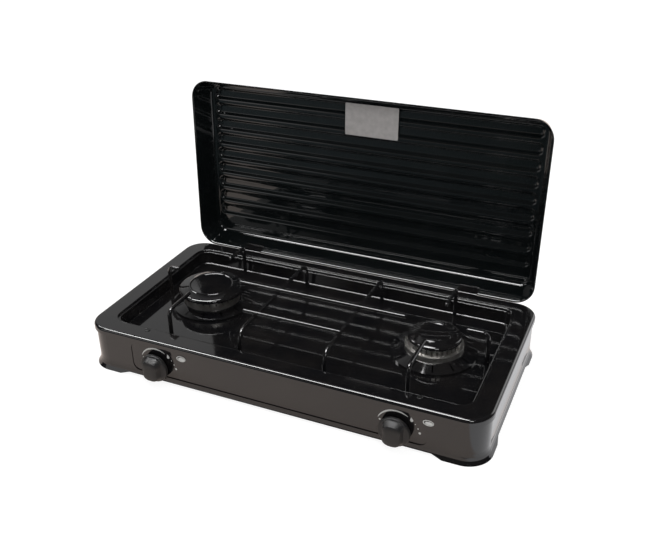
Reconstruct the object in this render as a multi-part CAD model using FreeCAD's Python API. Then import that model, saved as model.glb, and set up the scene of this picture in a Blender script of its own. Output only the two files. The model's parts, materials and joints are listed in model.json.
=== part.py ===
import FreeCAD, Part
import math
import os
from FreeCAD import Vector

# Table stove with two gas burners, a wire pan support and a hinged lid that stands open.
# Millimetres. X runs along the width to the right, Y to the back and Z up.

# Hob body, one drawn sheet of enamelled steel
BODY_WIDTH = 500.0
BODY_DEPTH = 256.0
RIM_HEIGHT = 58.0
SHEET = 1.0
CORNER_RADIUS = 28.0
BAND_HEIGHT = 8.0
BAND_STEP = 2.2
EDGE_ROUND = 3.5
FOOT_SPREAD = 4.4
FOOT_HEIGHT = 12.0
FOOT_LENGTH = 46.0
ARCH_HEIGHT = 3.6
ARCH_RUN = 12.0

# Pressed field in the front wall
PANEL_MARGIN = 64.0
PANEL_BOTTOM = 9.0
PANEL_DROP = 10.5
PANEL_DEPTH = 0.8
PANEL_RADIUS = 9.0

# Tray sunk into the top
RIM_SIDE = 24.0
RIM_FRONT = 23.0
RIM_BACK = 21.0
TRAY_RADIUS = 17.0
TRAY_DEPTH = 19.0
TRAY_RUN = 4.5
TRAY_FILLET = 2.0
LEDGE_DROP = 2.4
LEDGE_WIDTH = 2.0
TRAY_EDGE_ROUND = 1.2

# Burners
BURNER_INSET = 99.0
BURNER_SHIFT = 6.0
THROAT_RADIUS = 22.0
THROAT_WALL = 3.0
THROAT_TOP = 6.5
THROAT_BOTTOM_Z = 13.0
LUG_RADIUS = 31.0
LUG_THICKNESS = 2.4
LUG_SCREW_PITCH = 52.0
LUG_SCREW_RADIUS = 2.0
SKIRT_RADIUS = 51.0
SKIRT_LIP = 2.6
SKIRT_SLITS = 12
SKIRT_SLIT_WIDTH = 1.4
CROWN_HEIGHT = 16.0
CROWN_BASE = 3.0
CROWN_WALL = 5.5
CROWN_SPIGOT = 6.0
CROWN_SLOT_WIDTH = 1.5
CROWN_SLOT_HEIGHT = 9.0
CROWN_FLANGE_HEIGHT = 6.0
SKIRT_CLEARANCE = 1.0
CAP_EDGE = 2.6
CAP_RISE = 2.2
CAP_DISH = 0.8
CAP_SHEET = 1.6
CAP_LIP = 2.0
CAP_LIP_CLEARANCE = 0.6
BURNERS = {
    "left": {"side": -1, "crown": 36.5, "flange": 36.5, "cap": 39.0, "disc": 28.4, "slots": 28},
    "right": {"side": 1, "crown": 31.0, "flange": 35.0, "cap": 33.5, "disc": 16.4, "slots": 32},
}

# Mixing tubes
TUBE_RADIUS = 8.5
TUBE_BORE = 6.0
TUBE_MOUTH_RADIUS = 11.0
TUBE_MOUTH_LENGTH = 8.0
AIR_GAP = 3.0

# Pan support, steel wire
WIRE = 5.0
SUPPORT_HEIGHT = 21.0
BEND = 8.0
CROSS_BEND = 15.0
CROSS_SPACING = 108.0
CROSS_FRONT_GAP = 11.0
CROSS_REAR_GAP = 15.0
LONG_REACH = {"left": 42.5, "right": 35.5}
LONG_PITCH = 61.0
LONG_OVERHANG = {"left": 16.0, "right": 4.0}
PRONG_FRONT_GAP = 15.0
PRONG_REAR_GAP = 11.5
PRONG_SIDE_GAP = 11.5
PRONG_REACH = {
    "left": {"front": 50.0, "rear": 50.0, "side": 47.0},
    "right": {"front": 41.0, "rear": 44.0, "side": 37.0},
}
STUD_RADIUS = 1.5
STUD_LENGTH = 4.0
NUT_HEIGHT = 2.4
NUT_WIDTH = 5.5

# Taps and gas rail
TAP_Z = 22.8
TAP_RADIUS = 8.0
TAP_LENGTH = 15.0
TAP_SETBACK = 18.5
BONNET_LENGTH = 6.0
BONNET_WIDTH = 13.0
PLUG_RADIUS = 5.5
PLUG_LENGTH = 12.5
SPINDLE_RADIUS = 3.0
SPINDLE_FLAT = 0.8
SPINDLE_COLLAR_RADIUS = 5.2
SPINDLE_COLLAR_LENGTH = 1.4
SPINDLE_DEPTH = 7.0
SPRING_WIRE = 0.9
SPRING_TURNS = 3.0
SPRING_SIDES = 6
SPRING_STEPS = 12
FIT = 0.05
FREE = 0.4
NOSE_RADIUS = 5.0
NOSE_LENGTH = 5.0
JET_WIDTH = 8.0
JET_LENGTH = 9.0
JET_BORE = 0.5
PORT_RADIUS = 1.5
RAIL_RADIUS = 4.5
RAIL_BORE = 3.5
RAIL_Z = 9.0
RAIL_OVERHANG = 14.0
RAIL_BEND = 22.0
INLET_OFFSET = 45.0
CLAMP_WIDTH = 18.0
CLAMP_DEPTH = 18.0
CLAMP_THICKNESS = 5.2
CLAMP_SCREW_RADIUS = 1.6
CLAMP_SCREW_PITCH = 12.6
SCREW_HEAD = 1.6
BRACKET_SHEET = 1.5
BRACKET_WIDTH = 22.0
BRACKET_RISE = 16.0
BRACKET_RIVET_RISE = 10.0
BRACKET_OFFSET = 61.0
INLET_Z = 24.5
INLET_BLOCK_WIDTH = 16.0
INLET_BLOCK_LENGTH = 18.0
NOZZLE_STEM_RADIUS = 5.0
NOZZLE_FLANGE_WIDTH = 17.0
NOZZLE_FLANGE_LENGTH = 5.0
NOZZLE_RADIUS = 4.5
NOZZLE_LENGTH = 16.0
NOZZLE_TAPER = 0.9
NOZZLE_TAPER_LENGTH = 4.0
NOZZLE_BORE = 2.8

# Knobs
KNOB_RADIUS = 18.0
KNOB_SKIRT = 4.6
KNOB_TAPER = 1.4
GRIP_WIDTH = 22.0
GRIP_HEIGHT = 33.0
GRIP_LENGTH = 8.4
GRIP_TAPER = 1.0
GRIP_WAIST = 1.6
GRIP_BEVEL = 1.5
KNOB_GAP = 4.6
KNOB_TRAVEL = 2.0
KNOB_SHELL = 2.4
HUB_RADIUS = 6.4
KNOB_TURN = 200.0

# Lid
LID_SIDE_INSET = 10.0
LID_FRONT_INSET = 18.4
LID_DEPTH = 36.0
LID_DRAFT = 11.5
LID_RADIUS = 25.0
LID_ROUND = 8.0
LID_OPEN = 92.0
LID_BACK_INSET = 1.0
LID_REST_GAP = 1.1
RIB_COUNT = 9
RIB_REAR_MARGIN = 31.3
RIB_FRONT_MARGIN = 35.3
RIB_END_MARGIN = 21.0
RIB_WIDTH = 11.5
RIB_HEIGHT = 3.4
BUFFER_INSET = 79.0
BUFFER_RADIUS = 3.2
BUFFER_HEIGHT = 0.8

# Hinges
HINGE_SIDE = 93.0
HINGE_WIDTH = 26.0
HINGE_INSET = 0.8
HINGE_DROP = 1.2
BARREL_RADIUS = 1.9
PIN_RADIUS = 1.0
KNUCKLE = 9.0
KNUCKLE_GAP = 0.5
LEAF_SHEET = 1.0
LEAF_LENGTH = 14.0
RIVET_RADIUS = 1.4
RIVET_HEAD = 2.6
RIVET_HEAD_HEIGHT = 0.8
RIVET_PITCH = 16.0
NOTCH_DEPTH = 3.4
NOTCH_HEIGHT = 4.2

# Places that follow from the sizes above
TRAY_WIDTH = BODY_WIDTH - 2 * RIM_SIDE
TRAY_LENGTH = BODY_DEPTH - RIM_FRONT - RIM_BACK
TRAY_CENTRE_Y = (RIM_FRONT - RIM_BACK) / 2
TRAY_FRONT_Y = TRAY_CENTRE_Y - TRAY_LENGTH / 2
TRAY_REAR_Y = TRAY_CENTRE_Y + TRAY_LENGTH / 2
PANEL_WIDTH = BODY_WIDTH - 2 * PANEL_MARGIN
PANEL_TOP = RIM_HEIGHT - PANEL_DROP
FLOOR_Z = RIM_HEIGHT - TRAY_DEPTH
UNDER_FLOOR_Z = FLOOR_Z - SHEET
WALL_Y = BODY_DEPTH / 2 - BAND_STEP
FRONT_FACE_Y = -WALL_Y + PANEL_DEPTH
FRONT_INSIDE_Y = FRONT_FACE_Y + SHEET
BURNER_X = BODY_WIDTH / 2 - BURNER_INSET
BURNER_Y = TRAY_CENTRE_Y + BURNER_SHIFT
SKIRT_TOP_Z = FLOOR_Z + THROAT_TOP + SHEET
CROWN_TOP_Z = SKIRT_TOP_Z + CROWN_HEIGHT
SUPPORT_Z = RIM_HEIGHT + SUPPORT_HEIGHT
CROSS_Z = SUPPORT_Z - WIRE
CROSS_X = CROSS_SPACING / 2
CROSS_FRONT_Y = TRAY_FRONT_Y + CROSS_FRONT_GAP
CROSS_REAR_Y = TRAY_REAR_Y - CROSS_REAR_GAP
LONG_FRONT_Y = BURNER_Y - LONG_PITCH
PRONG_FRONT_Y = TRAY_FRONT_Y + PRONG_FRONT_GAP
PRONG_REAR_Y = TRAY_REAR_Y - PRONG_REAR_GAP
PRONG_SIDE_X = TRAY_WIDTH / 2 - PRONG_SIDE_GAP
BONNET_Y = FRONT_FACE_Y + TAP_SETBACK - BONNET_LENGTH
TAP_Y = BONNET_Y + BONNET_LENGTH
TAP_END_Y = TAP_Y + TAP_LENGTH
NOSE_END_Y = TAP_END_Y + NOSE_LENGTH
JET_END_Y = NOSE_END_Y + JET_LENGTH
RAIL_Y = TAP_Y + CLAMP_DEPTH / 2 + FREE
INLET_X = BURNER_X + INLET_OFFSET
BRACKET_X = BURNER_X - BRACKET_OFFSET
BRACKET_RIVET_Z = TAP_Z + BRACKET_RIVET_RISE
PLUG_Y = TAP_Y + FIT
BORE_END_Y = PLUG_Y + SPINDLE_DEPTH + KNOB_TRAVEL + FREE
SPINDLE_END_Y = PLUG_Y + SPINDLE_DEPTH
COLLAR_Y = FRONT_INSIDE_Y + FREE
SPRING_START_Y = COLLAR_Y + SPINDLE_COLLAR_LENGTH
KNOB_BACK_Y = FRONT_FACE_Y - KNOB_GAP
KNOB_FACE_Y = KNOB_BACK_Y - KNOB_SKIRT - GRIP_LENGTH
SPINDLE_START_Y = KNOB_FACE_Y + KNOB_SHELL
HINGE_Y = BODY_DEPTH / 2 - HINGE_INSET
HINGE_Z = RIM_HEIGHT - HINGE_DROP
LID_WIDTH = BODY_WIDTH - 2 * LID_SIDE_INSET
LID_LENGTH = BODY_DEPTH - LID_BACK_INSET - LID_FRONT_INSET
LID_BACK_Y = BODY_DEPTH / 2 - LID_BACK_INSET
LID_LIP_Z = RIM_HEIGHT + LID_REST_GAP
LID_FRONT_Y = LID_BACK_Y - LID_LENGTH
RIB_LENGTH = LID_WIDTH - 2 * RIB_END_MARGIN
RIB_PITCH = (LID_LENGTH - RIB_REAR_MARGIN - RIB_FRONT_MARGIN) / (RIB_COUNT - 1)
BUFFER_X = BODY_WIDTH / 2 - BUFFER_INSET
HINGE_X = BODY_WIDTH / 2 - HINGE_SIDE
SIDES = (("left", -1), ("right", 1))

X_AXIS = Vector(1, 0, 0)
Y_AXIS = Vector(0, 1, 0)
Z_AXIS = Vector(0, 0, 1)


def rounded_wire(width, length, radius, z, centre_y=0.0):
    """A rectangle with round corners, flat at the height z."""
    half_x = width / 2
    half_y = length / 2
    edges = []
    corners = ((1, -1, -90), (1, 1, 0), (-1, 1, 90), (-1, -1, 180))
    ends = []
    for sign_x, sign_y, start in corners:
        centre = Vector(sign_x * (half_x - radius), centre_y + sign_y * (half_y - radius), z)
        arc = Part.makeCircle(radius, centre, Z_AXIS, start, start + 90)
        ends.append(arc)
    for index, arc in enumerate(ends):
        following = ends[(index + 1) % len(ends)]
        edges.append(arc)
        edges.append(Part.makeLine(arc.lastVertex().Point, following.firstVertex().Point))
    return Part.Wire(edges)


def stack(sections, centre_y=0.0):
    """A solid through rounded rectangles, each given as width, length, radius and height."""
    wires = [rounded_wire(width, length, radius, z, centre_y) for width, length, radius, z in sections]
    return Part.makeLoft(wires, True, True)


def prism(width, length, radius, low, high, centre_y=0.0):
    """A block with round vertical corners."""
    face = Part.Face(rounded_wire(width, length, radius, low, centre_y))
    return face.extrude(Vector(0, 0, high - low))


def block(x0, x1, y0, y1, z0, z1):
    """A plain block between two corners."""
    return Part.makeBox(x1 - x0, y1 - y0, z1 - z0, Vector(x0, y0, z0))


def rod(x, y0, y1, z, radius):
    """A round bar along Y."""
    return Part.makeCylinder(radius, y1 - y0, Vector(x, y0, z), Y_AXIS)


def post(x, y, z0, z1, radius):
    """A round bar along Z."""
    return Part.makeCylinder(radius, z1 - z0, Vector(x, y, z0), Z_AXIS)


def axle(x0, x1, y, z, radius):
    """A round bar along X."""
    return Part.makeCylinder(radius, x1 - x0, Vector(x0, y, z), X_AXIS)


def hexagon(across, height, base, direction):
    """A hexagonal bar from a base point along a direction."""
    circle_radius = across / math.sqrt(3)
    points = []
    for corner in range(7):
        angle = math.radians(60 * corner + 30)
        points.append(Vector(circle_radius * math.cos(angle), circle_radius * math.sin(angle), 0))
    bar = Part.Face(Part.makePolygon(points)).extrude(Vector(0, 0, height))
    bar.Placement = FreeCAD.Placement(base, FreeCAD.Rotation(Z_AXIS, direction))
    return bar


def turned(profile, x, y):
    """A solid turned about a vertical axis from points of radius and height."""
    points = [Vector(x + radius, y, z) for radius, z in profile]
    face = Part.Face(Part.makePolygon(points + points[:1]))
    return face.revolve(Vector(x, y, 0), Z_AXIS, 360)


def turned_along_y(profile, x, z):
    """A solid turned about an axis along Y from points of radius and place."""
    points = [Vector(x + radius, y, z) for radius, y in profile]
    face = Part.Face(Part.makePolygon(points + points[:1]))
    return face.revolve(Vector(x, 0, z), Y_AXIS, 360)


def bent_path(points, radius):
    """Straight runs through the points, joined by tangent arcs of one radius."""
    edges = []
    start = points[0]
    for index in range(1, len(points) - 1):
        corner = points[index]
        before = (corner - points[index - 1]).normalize()
        after = (points[index + 1] - corner).normalize()
        turn = before.getAngle(after)
        reach = radius * math.tan(turn / 2)
        first = corner - before * reach
        last = corner + after * reach
        inward = (after - before).normalize()
        centre_distance = math.hypot(radius, reach)
        middle = corner + inward * (centre_distance - radius)
        edges.append(Part.makeLine(start, first))
        edges.append(Part.Arc(first, middle, last).toShape())
        start = last
    edges.append(Part.makeLine(start, points[-1]))
    return Part.Wire(edges)


def bent_rod(points, bend, radius):
    """Round wire along a bent path."""
    path = bent_path(points, bend)
    direction = (points[1] - points[0]).normalize()
    ring = Part.Wire(Part.makeCircle(radius, points[0], direction))
    return path.makePipeShell([ring], True, False)


def round_tip(solid, tip, radius):
    """Rounds the end of a wire, whose end disc has its centre at the tip."""
    edges = []
    for edge in solid.Edges:
        if edge.CenterOfMass.distanceToPoint(tip) < 0.01 and len(edge.Vertexes) == 1:
            edges.append(edge)
    return solid.makeFillet(radius, edges)


def edges_at_height(solid, z, tolerance=0.01):
    """The edges of a solid that lie flat at one height."""
    box_edges = []
    for edge in solid.Edges:
        box = edge.BoundBox
        if abs(box.ZMin - z) < tolerance and abs(box.ZMax - z) < tolerance:
            box_edges.append(edge)
    return box_edges


def wall_sections(inset, bottom):
    """The side wall from the table up, flaring outwards at its foot."""
    offsets = (
        (BAND_STEP - FOOT_SPREAD, 0.0),
        (BAND_STEP - FOOT_SPREAD * 0.72, FOOT_HEIGHT * 0.16),
        (BAND_STEP - FOOT_SPREAD * 0.36, FOOT_HEIGHT * 0.38),
        (BAND_STEP - FOOT_SPREAD * 0.1, FOOT_HEIGHT * 0.68),
        (BAND_STEP, FOOT_HEIGHT),
        (BAND_STEP, RIM_HEIGHT - BAND_HEIGHT + SHEET / 2),
    )
    sections = []
    for offset, z in offsets:
        step = offset + inset
        height = bottom if z == 0.0 else z
        sections.append((BODY_WIDTH - 2 * step, BODY_DEPTH - 2 * step, CORNER_RADIUS - step, height))
    return sections


def band(inset, low, high, round_radius):
    """The plain band under the rim, with its top edge rounded over."""
    width = BODY_WIDTH - 2 * inset
    length = BODY_DEPTH - 2 * inset
    solid = prism(width, length, CORNER_RADIUS - inset, low, high)
    return solid.makeFillet(round_radius, edges_at_height(solid, high))


def tray_cavity(outset, top):
    """The space of the tray, or with an outset the space that its sheet fills."""
    width = TRAY_WIDTH + 2 * outset
    length = TRAY_LENGTH + 2 * outset
    radius = TRAY_RADIUS + outset
    ledge_z = RIM_HEIGHT - LEDGE_DROP - outset
    inner_width = width - 2 * LEDGE_WIDTH
    inner_length = length - 2 * LEDGE_WIDTH
    floor_width = width - 2 * TRAY_RUN
    floor_length = length - 2 * TRAY_RUN
    upper = prism(width, length, radius, ledge_z, top, TRAY_CENTRE_Y)
    floor_z = FLOOR_Z - outset
    lower = stack(
        (
            (floor_width, floor_length, radius - TRAY_RUN, floor_z),
            (inner_width, inner_length, radius - LEDGE_WIDTH, ledge_z + SHEET / 2),
        ),
        TRAY_CENTRE_Y,
    )
    lower = lower.makeFillet(TRAY_FILLET + outset, edges_at_height(lower, floor_z))
    return upper.fuse(lower).removeSplitter()


def front_field(margin, y0, y1):
    """The pressed field of the front wall as a block between two depths."""
    width = PANEL_WIDTH + 2 * margin
    height = PANEL_TOP - PANEL_BOTTOM + 2 * margin
    solid = prism(width, height, PANEL_RADIUS + margin, 0, y1 - y0)
    solid.rotate(Vector(0, 0, 0), X_AXIS, 90)
    solid.translate(Vector(0, y1, (PANEL_TOP + PANEL_BOTTOM) / 2))
    return solid


def arch_cuts():
    """Blocks that raise the lower edge of the body between its four feet."""
    cuts = []
    for half, along_x in ((BODY_WIDTH / 2, True), (BODY_DEPTH / 2, False)):
        outer = half - FOOT_LENGTH
        inner = outer - ARCH_RUN
        flat = ((-outer, -1.0), (outer, -1.0), (outer, 0.0), (inner, ARCH_HEIGHT),
                (-inner, ARCH_HEIGHT), (-outer, 0.0), (-outer, -1.0))
        reach = BODY_WIDTH
        if along_x:
            points = [Vector(place, -reach, z) for place, z in flat]
            direction = Vector(0, 2 * reach, 0)
        else:
            points = [Vector(-reach, place, z) for place, z in flat]
            direction = Vector(2 * reach, 0, 0)
        cuts.append(Part.Face(Part.makePolygon(points)).extrude(direction))
    return cuts


def support_feet():
    """The places where the wires of the pan support stand on the tray."""
    places = []
    for name, side in SIDES:
        places.append((side * CROSS_X, CROSS_FRONT_Y))
        places.append((side * CROSS_X, CROSS_REAR_Y))
        places.append((side * BURNER_X, PRONG_FRONT_Y))
        places.append((side * BURNER_X, PRONG_REAR_Y))
        places.append((side * PRONG_SIDE_X, BURNER_Y))
    return places


def lug_screw_places():
    """The places of the screws that hold the mixing tubes under the tray."""
    places = []
    for name, side in SIDES:
        for direction in (-1, 1):
            places.append((side * BURNER_X + direction * LUG_SCREW_PITCH / 2, BURNER_Y))
    return places


def body_rivet_places():
    """The rivets that hold the lower hinge leaves under the rim."""
    places = []
    for name, side in SIDES:
        for direction in (-1, 1):
            x = side * HINGE_X + direction * RIVET_PITCH / 2
            places.append((x, HINGE_Y - BARREL_RADIUS - LEAF_LENGTH / 2))
    return places


def bracket_feet():
    """The places where the rail brackets are riveted to the front wall."""
    return [side * BRACKET_X for name, side in SIDES]


def make_hob_body():
    """The drawn body with its rim, tray, side walls and feet."""
    shell_top = band(0, RIM_HEIGHT - BAND_HEIGHT, RIM_HEIGHT, EDGE_ROUND)
    outer = stack(wall_sections(0, 0.0)).fuse(shell_top)
    void_top = band(SHEET, RIM_HEIGHT - BAND_HEIGHT + SHEET, RIM_HEIGHT - SHEET, EDGE_ROUND - SHEET)
    void = stack(wall_sections(SHEET, -1.0)).fuse(void_top)
    field = front_field(0, -BODY_DEPTH / 2 - 1, FRONT_FACE_Y)
    backing = front_field(SHEET, FRONT_FACE_Y, FRONT_INSIDE_Y)
    void = void.cut(tray_cavity(SHEET, RIM_HEIGHT + 1)).cut(backing)
    body = outer.cut(void).cut(tray_cavity(0, RIM_HEIGHT + 1)).cut(field)
    tray_edges = []
    for edge in edges_at_height(body, RIM_HEIGHT):
        box = edge.BoundBox
        if box.XMin > -TRAY_WIDTH / 2 - 0.1 and box.XMax < TRAY_WIDTH / 2 + 0.1:
            tray_edges.append(edge)
    body = body.makeFillet(TRAY_EDGE_ROUND, tray_edges)
    cuts = arch_cuts()
    for name, side in SIDES:
        cuts.append(post(side * BURNER_X, BURNER_Y, UNDER_FLOOR_Z - 1, FLOOR_Z + 1, THROAT_RADIUS + FREE))
        cuts.append(rod(side * BURNER_X, -BODY_DEPTH / 2, FRONT_INSIDE_Y + 1, TAP_Z,
                        SPINDLE_RADIUS + 1.5))
        half = HINGE_WIDTH / 2 + 1
        cuts.append(block(side * HINGE_X - half, side * HINGE_X + half, BODY_DEPTH / 2 - NOTCH_DEPTH,
                          BODY_DEPTH / 2 + 1, RIM_HEIGHT - NOTCH_HEIGHT, RIM_HEIGHT + 1))
    for x, y in support_feet():
        cuts.append(post(x, y, UNDER_FLOOR_Z - 1, FLOOR_Z + 1, STUD_RADIUS + FIT))
    for x, y in lug_screw_places():
        cuts.append(post(x, y, UNDER_FLOOR_Z - 1, FLOOR_Z + 1, LUG_SCREW_RADIUS + FIT))
    for x, y in body_rivet_places():
        cuts.append(post(x, y, RIM_HEIGHT - SHEET - 1, RIM_HEIGHT + 1, RIVET_RADIUS))
    for x in bracket_feet():
        cuts.append(rod(x, -BODY_DEPTH / 2, FRONT_INSIDE_Y + 1, BRACKET_RIVET_Z, RIVET_RADIUS))
    cuts.append(rod(INLET_X, WALL_Y - SHEET - 1, BODY_DEPTH / 2 + 1, INLET_Z, NOZZLE_STEM_RADIUS + FIT))
    return body.cut(Part.makeCompound(cuts))


def make_skirt(burner):
    """The flared enamelled ring that stands on the tray round a burner."""
    x = burner["side"] * BURNER_X
    inner = THROAT_RADIUS - THROAT_WALL + FREE
    collar = burner["flange"] + SKIRT_CLEARANCE
    top = SKIRT_TOP_Z
    lip = FLOOR_Z + SKIRT_LIP
    profile = (
        (inner, top), (collar, top), (SKIRT_RADIUS, lip), (SKIRT_RADIUS, FLOOR_Z),
        (SKIRT_RADIUS - SHEET, FLOOR_Z), (SKIRT_RADIUS - SHEET, lip - SHEET * 0.4),
        (collar - SHEET * 0.4, top - SHEET), (inner, top - SHEET),
    )
    ring = turned(profile, x, BURNER_Y)
    slits = []
    for index in range(SKIRT_SLITS):
        angle = 360 * (index + 0.5) / SKIRT_SLITS
        slit = block(collar + 1.5, SKIRT_RADIUS - 2.5, -SKIRT_SLIT_WIDTH / 2, SKIRT_SLIT_WIDTH / 2,
                     FLOOR_Z, top + 1)
        slit.rotate(Vector(0, 0, 0), Z_AXIS, angle)
        slit.translate(Vector(x, BURNER_Y, 0))
        slits.append(slit)
    return ring.cut(Part.makeCompound(slits))


def make_crown(burner):
    """The cast burner crown, whose ports are radial slots under the cap."""
    x = burner["side"] * BURNER_X
    bottom = SKIRT_TOP_Z
    base = bottom + CROWN_BASE
    flange_top = bottom + CROWN_FLANGE_HEIGHT
    spigot = THROAT_RADIUS - THROAT_WALL - FIT
    bore = spigot - CROWN_BASE
    wall = burner["crown"] - CROWN_WALL
    profile = [(bore, bottom - CROWN_SPIGOT), (spigot, bottom - CROWN_SPIGOT), (spigot, bottom),
               (burner["flange"], bottom)]
    if burner["flange"] > burner["crown"]:
        profile += [(burner["flange"], flange_top), (burner["crown"], flange_top + 0.8)]
    profile += [(burner["crown"], CROWN_TOP_Z), (wall, CROWN_TOP_Z), (wall, base), (bore, base)]
    crown = turned(profile, x, BURNER_Y)
    slots = []
    for index in range(burner["slots"]):
        slot = block(wall - 1, burner["flange"] + 1, -CROWN_SLOT_WIDTH / 2, CROWN_SLOT_WIDTH / 2,
                     CROWN_TOP_Z - CROWN_SLOT_HEIGHT, CROWN_TOP_Z + 1)
        slot.rotate(Vector(0, 0, 0), Z_AXIS, 360 * index / burner["slots"])
        slot.translate(Vector(x, BURNER_Y, 0))
        slots.append(slot)
    return crown.cut(Part.makeCompound(slots))


def make_cap(burner):
    """The enamelled cap, with a shallow dish pressed into its middle."""
    x = burner["side"] * BURNER_X
    low = CROWN_TOP_Z
    edge = low + CAP_EDGE
    top = edge + CAP_RISE
    radius = burner["cap"]
    disc = burner["disc"]
    lip = burner["crown"] - CROWN_WALL - CAP_LIP_CLEARANCE
    hollow = top - CAP_DISH - CAP_SHEET
    profile = (
        (0.0, top - CAP_DISH), (disc - 1.0, top - CAP_DISH), (disc, top), (disc + 1.6, top),
        (radius - 3.0, edge + 0.5), (radius - 0.9, edge - 0.1), (radius, edge - 0.9),
        (radius, low + 0.7), (radius - 0.6, low), (lip, low), (lip, low - CAP_LIP),
        (lip - CAP_SHEET, low - CAP_LIP), (lip - CAP_SHEET, hollow), (0.0, hollow),
    )
    return turned(profile, x, BURNER_Y)


def make_mixing_tube(burner):
    """The cast throat under a burner with the tube that mixes gas and air."""
    x = burner["side"] * BURNER_X
    top = FLOOR_Z + THROAT_TOP
    mouth = JET_END_Y + AIR_GAP
    inner = THROAT_RADIUS - THROAT_WALL
    throat = post(x, BURNER_Y, THROAT_BOTTOM_Z, top, THROAT_RADIUS)
    lug = post(x, BURNER_Y, UNDER_FLOOR_Z - LUG_THICKNESS, UNDER_FLOOR_Z, LUG_RADIUS)
    tube_end = BURNER_Y - THROAT_RADIUS / 2
    tube = turned_along_y(((0, mouth), (TUBE_MOUTH_RADIUS, mouth), (TUBE_RADIUS, mouth + TUBE_MOUTH_LENGTH),
                           (TUBE_RADIUS, tube_end), (0, tube_end)), x, TAP_Z)
    casting = throat.fuse([lug, tube])
    wall = TUBE_MOUTH_RADIUS - TUBE_RADIUS + TUBE_BORE
    bore = turned_along_y(((0, mouth - 1), (wall, mouth - 1), (TUBE_BORE, mouth + TUBE_MOUTH_LENGTH),
                           (TUBE_BORE, BURNER_Y), (0, BURNER_Y)), x, TAP_Z)
    well = post(x, BURNER_Y, THROAT_BOTTOM_Z + THROAT_WALL, top + 1, inner)
    holes = []
    for direction in (-1, 1):
        place = x + direction * LUG_SCREW_PITCH / 2
        holes.append(post(place, BURNER_Y, THROAT_BOTTOM_Z, UNDER_FLOOR_Z + 1, LUG_SCREW_RADIUS))
    return casting.cut(Part.makeCompound([bore, well] + holes))


def make_lug_screws():
    """Screws that hold the mixing tubes to the tray, with their heads on the tray."""
    screws = []
    for x, y in lug_screw_places():
        shank = post(x, y, UNDER_FLOOR_Z - LUG_THICKNESS - 1.5, FLOOR_Z, LUG_SCREW_RADIUS)
        head = post(x, y, FLOOR_Z, FLOOR_Z + SCREW_HEAD, LUG_SCREW_RADIUS + 1.6)
        screws.append(shank.fuse(head))
    return Part.makeCompound(screws)


def with_stud(wire, x, y):
    """Adds the thinner stud that goes through the tray below a leg."""
    stud = post(x, y, UNDER_FLOOR_Z - STUD_LENGTH, FLOOR_Z + 1, STUD_RADIUS)
    return wire.fuse(stud)


def make_cross_wire(side):
    """A wire from front to back over the tray, bent down into two legs."""
    x = side * CROSS_X
    points = [
        Vector(x, CROSS_FRONT_Y, FLOOR_Z), Vector(x, CROSS_FRONT_Y, CROSS_Z),
        Vector(x, CROSS_REAR_Y, CROSS_Z), Vector(x, CROSS_REAR_Y, FLOOR_Z),
    ]
    wire = bent_rod(points, CROSS_BEND, WIRE / 2)
    wire = with_stud(wire, x, CROSS_FRONT_Y)
    return with_stud(wire, x, CROSS_REAR_Y)


def make_long_wire(x0, x1, y):
    """A straight wire across both cross wires, with rounded ends."""
    wire = axle(x0, x1, y, SUPPORT_Z, WIRE / 2)
    wire = round_tip(wire, Vector(x0, y, SUPPORT_Z), WIRE * 0.4)
    return round_tip(wire, Vector(x1, y, SUPPORT_Z), WIRE * 0.4)


def make_prongs(name, side):
    """The three bent prongs that point at a burner from the edge of the tray."""
    x = side * BURNER_X
    reach = PRONG_REACH[name]
    legs = (
        (Vector(x, PRONG_FRONT_Y, FLOOR_Z), Vector(x, BURNER_Y - reach["front"], SUPPORT_Z)),
        (Vector(x, PRONG_REAR_Y, FLOOR_Z), Vector(x, BURNER_Y + reach["rear"], SUPPORT_Z)),
        (Vector(side * PRONG_SIDE_X, BURNER_Y, FLOOR_Z),
         Vector(x + side * reach["side"], BURNER_Y, SUPPORT_Z)),
    )
    prongs = []
    for foot, tip in legs:
        shoulder = Vector(foot.x, foot.y, SUPPORT_Z)
        prong = bent_rod([foot, shoulder, tip], BEND, WIRE / 2)
        prong = round_tip(prong, tip, WIRE * 0.4)
        prongs.append(with_stud(prong, foot.x, foot.y))
    return Part.makeCompound(prongs)


def make_support_nuts():
    """The nuts under the tray that hold the wires of the pan support."""
    nuts = []
    for x, y in support_feet():
        base = Vector(x, y, UNDER_FLOOR_Z - NUT_HEIGHT)
        nut = hexagon(NUT_WIDTH, NUT_HEIGHT, base, Z_AXIS)
        nuts.append(nut.cut(post(x, y, base.z - 1, UNDER_FLOOR_Z + 1, STUD_RADIUS)))
    return Part.makeCompound(nuts)


def rail_path():
    """The route of the gas rail, behind the front wall and then to the back."""
    start = Vector(-BURNER_X - RAIL_OVERHANG, RAIL_Y, RAIL_Z)
    corner = Vector(INLET_X, RAIL_Y, RAIL_Z)
    block_front = WALL_Y - SHEET - INLET_BLOCK_LENGTH
    return [start, corner, Vector(INLET_X, block_front + 3.0, RAIL_Z)]


def make_gas_rail():
    """The pipe that feeds both taps, closed at its left end."""
    points = rail_path()
    pipe = bent_rod(points, RAIL_BEND, RAIL_RADIUS)
    inside_start = Vector(points[0].x + 3.0, points[0].y, points[0].z)
    hollow = bent_rod([inside_start, points[1], points[2] + Vector(0, 1, 0)], RAIL_BEND, RAIL_BORE)
    ports = [post(side * BURNER_X, RAIL_Y, RAIL_Z, RAIL_Z + RAIL_RADIUS + 1, PORT_RADIUS)
             for name, side in SIDES]
    return pipe.cut(Part.makeCompound([hollow] + ports))


def clamp_block(x, z0, z1):
    """Half of the seat that holds a tap on the rail."""
    half_width = CLAMP_WIDTH / 2
    half_depth = CLAMP_DEPTH / 2
    return block(x - half_width, x + half_width, RAIL_Y - half_depth, RAIL_Y + half_depth, z0, z1)


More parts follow.
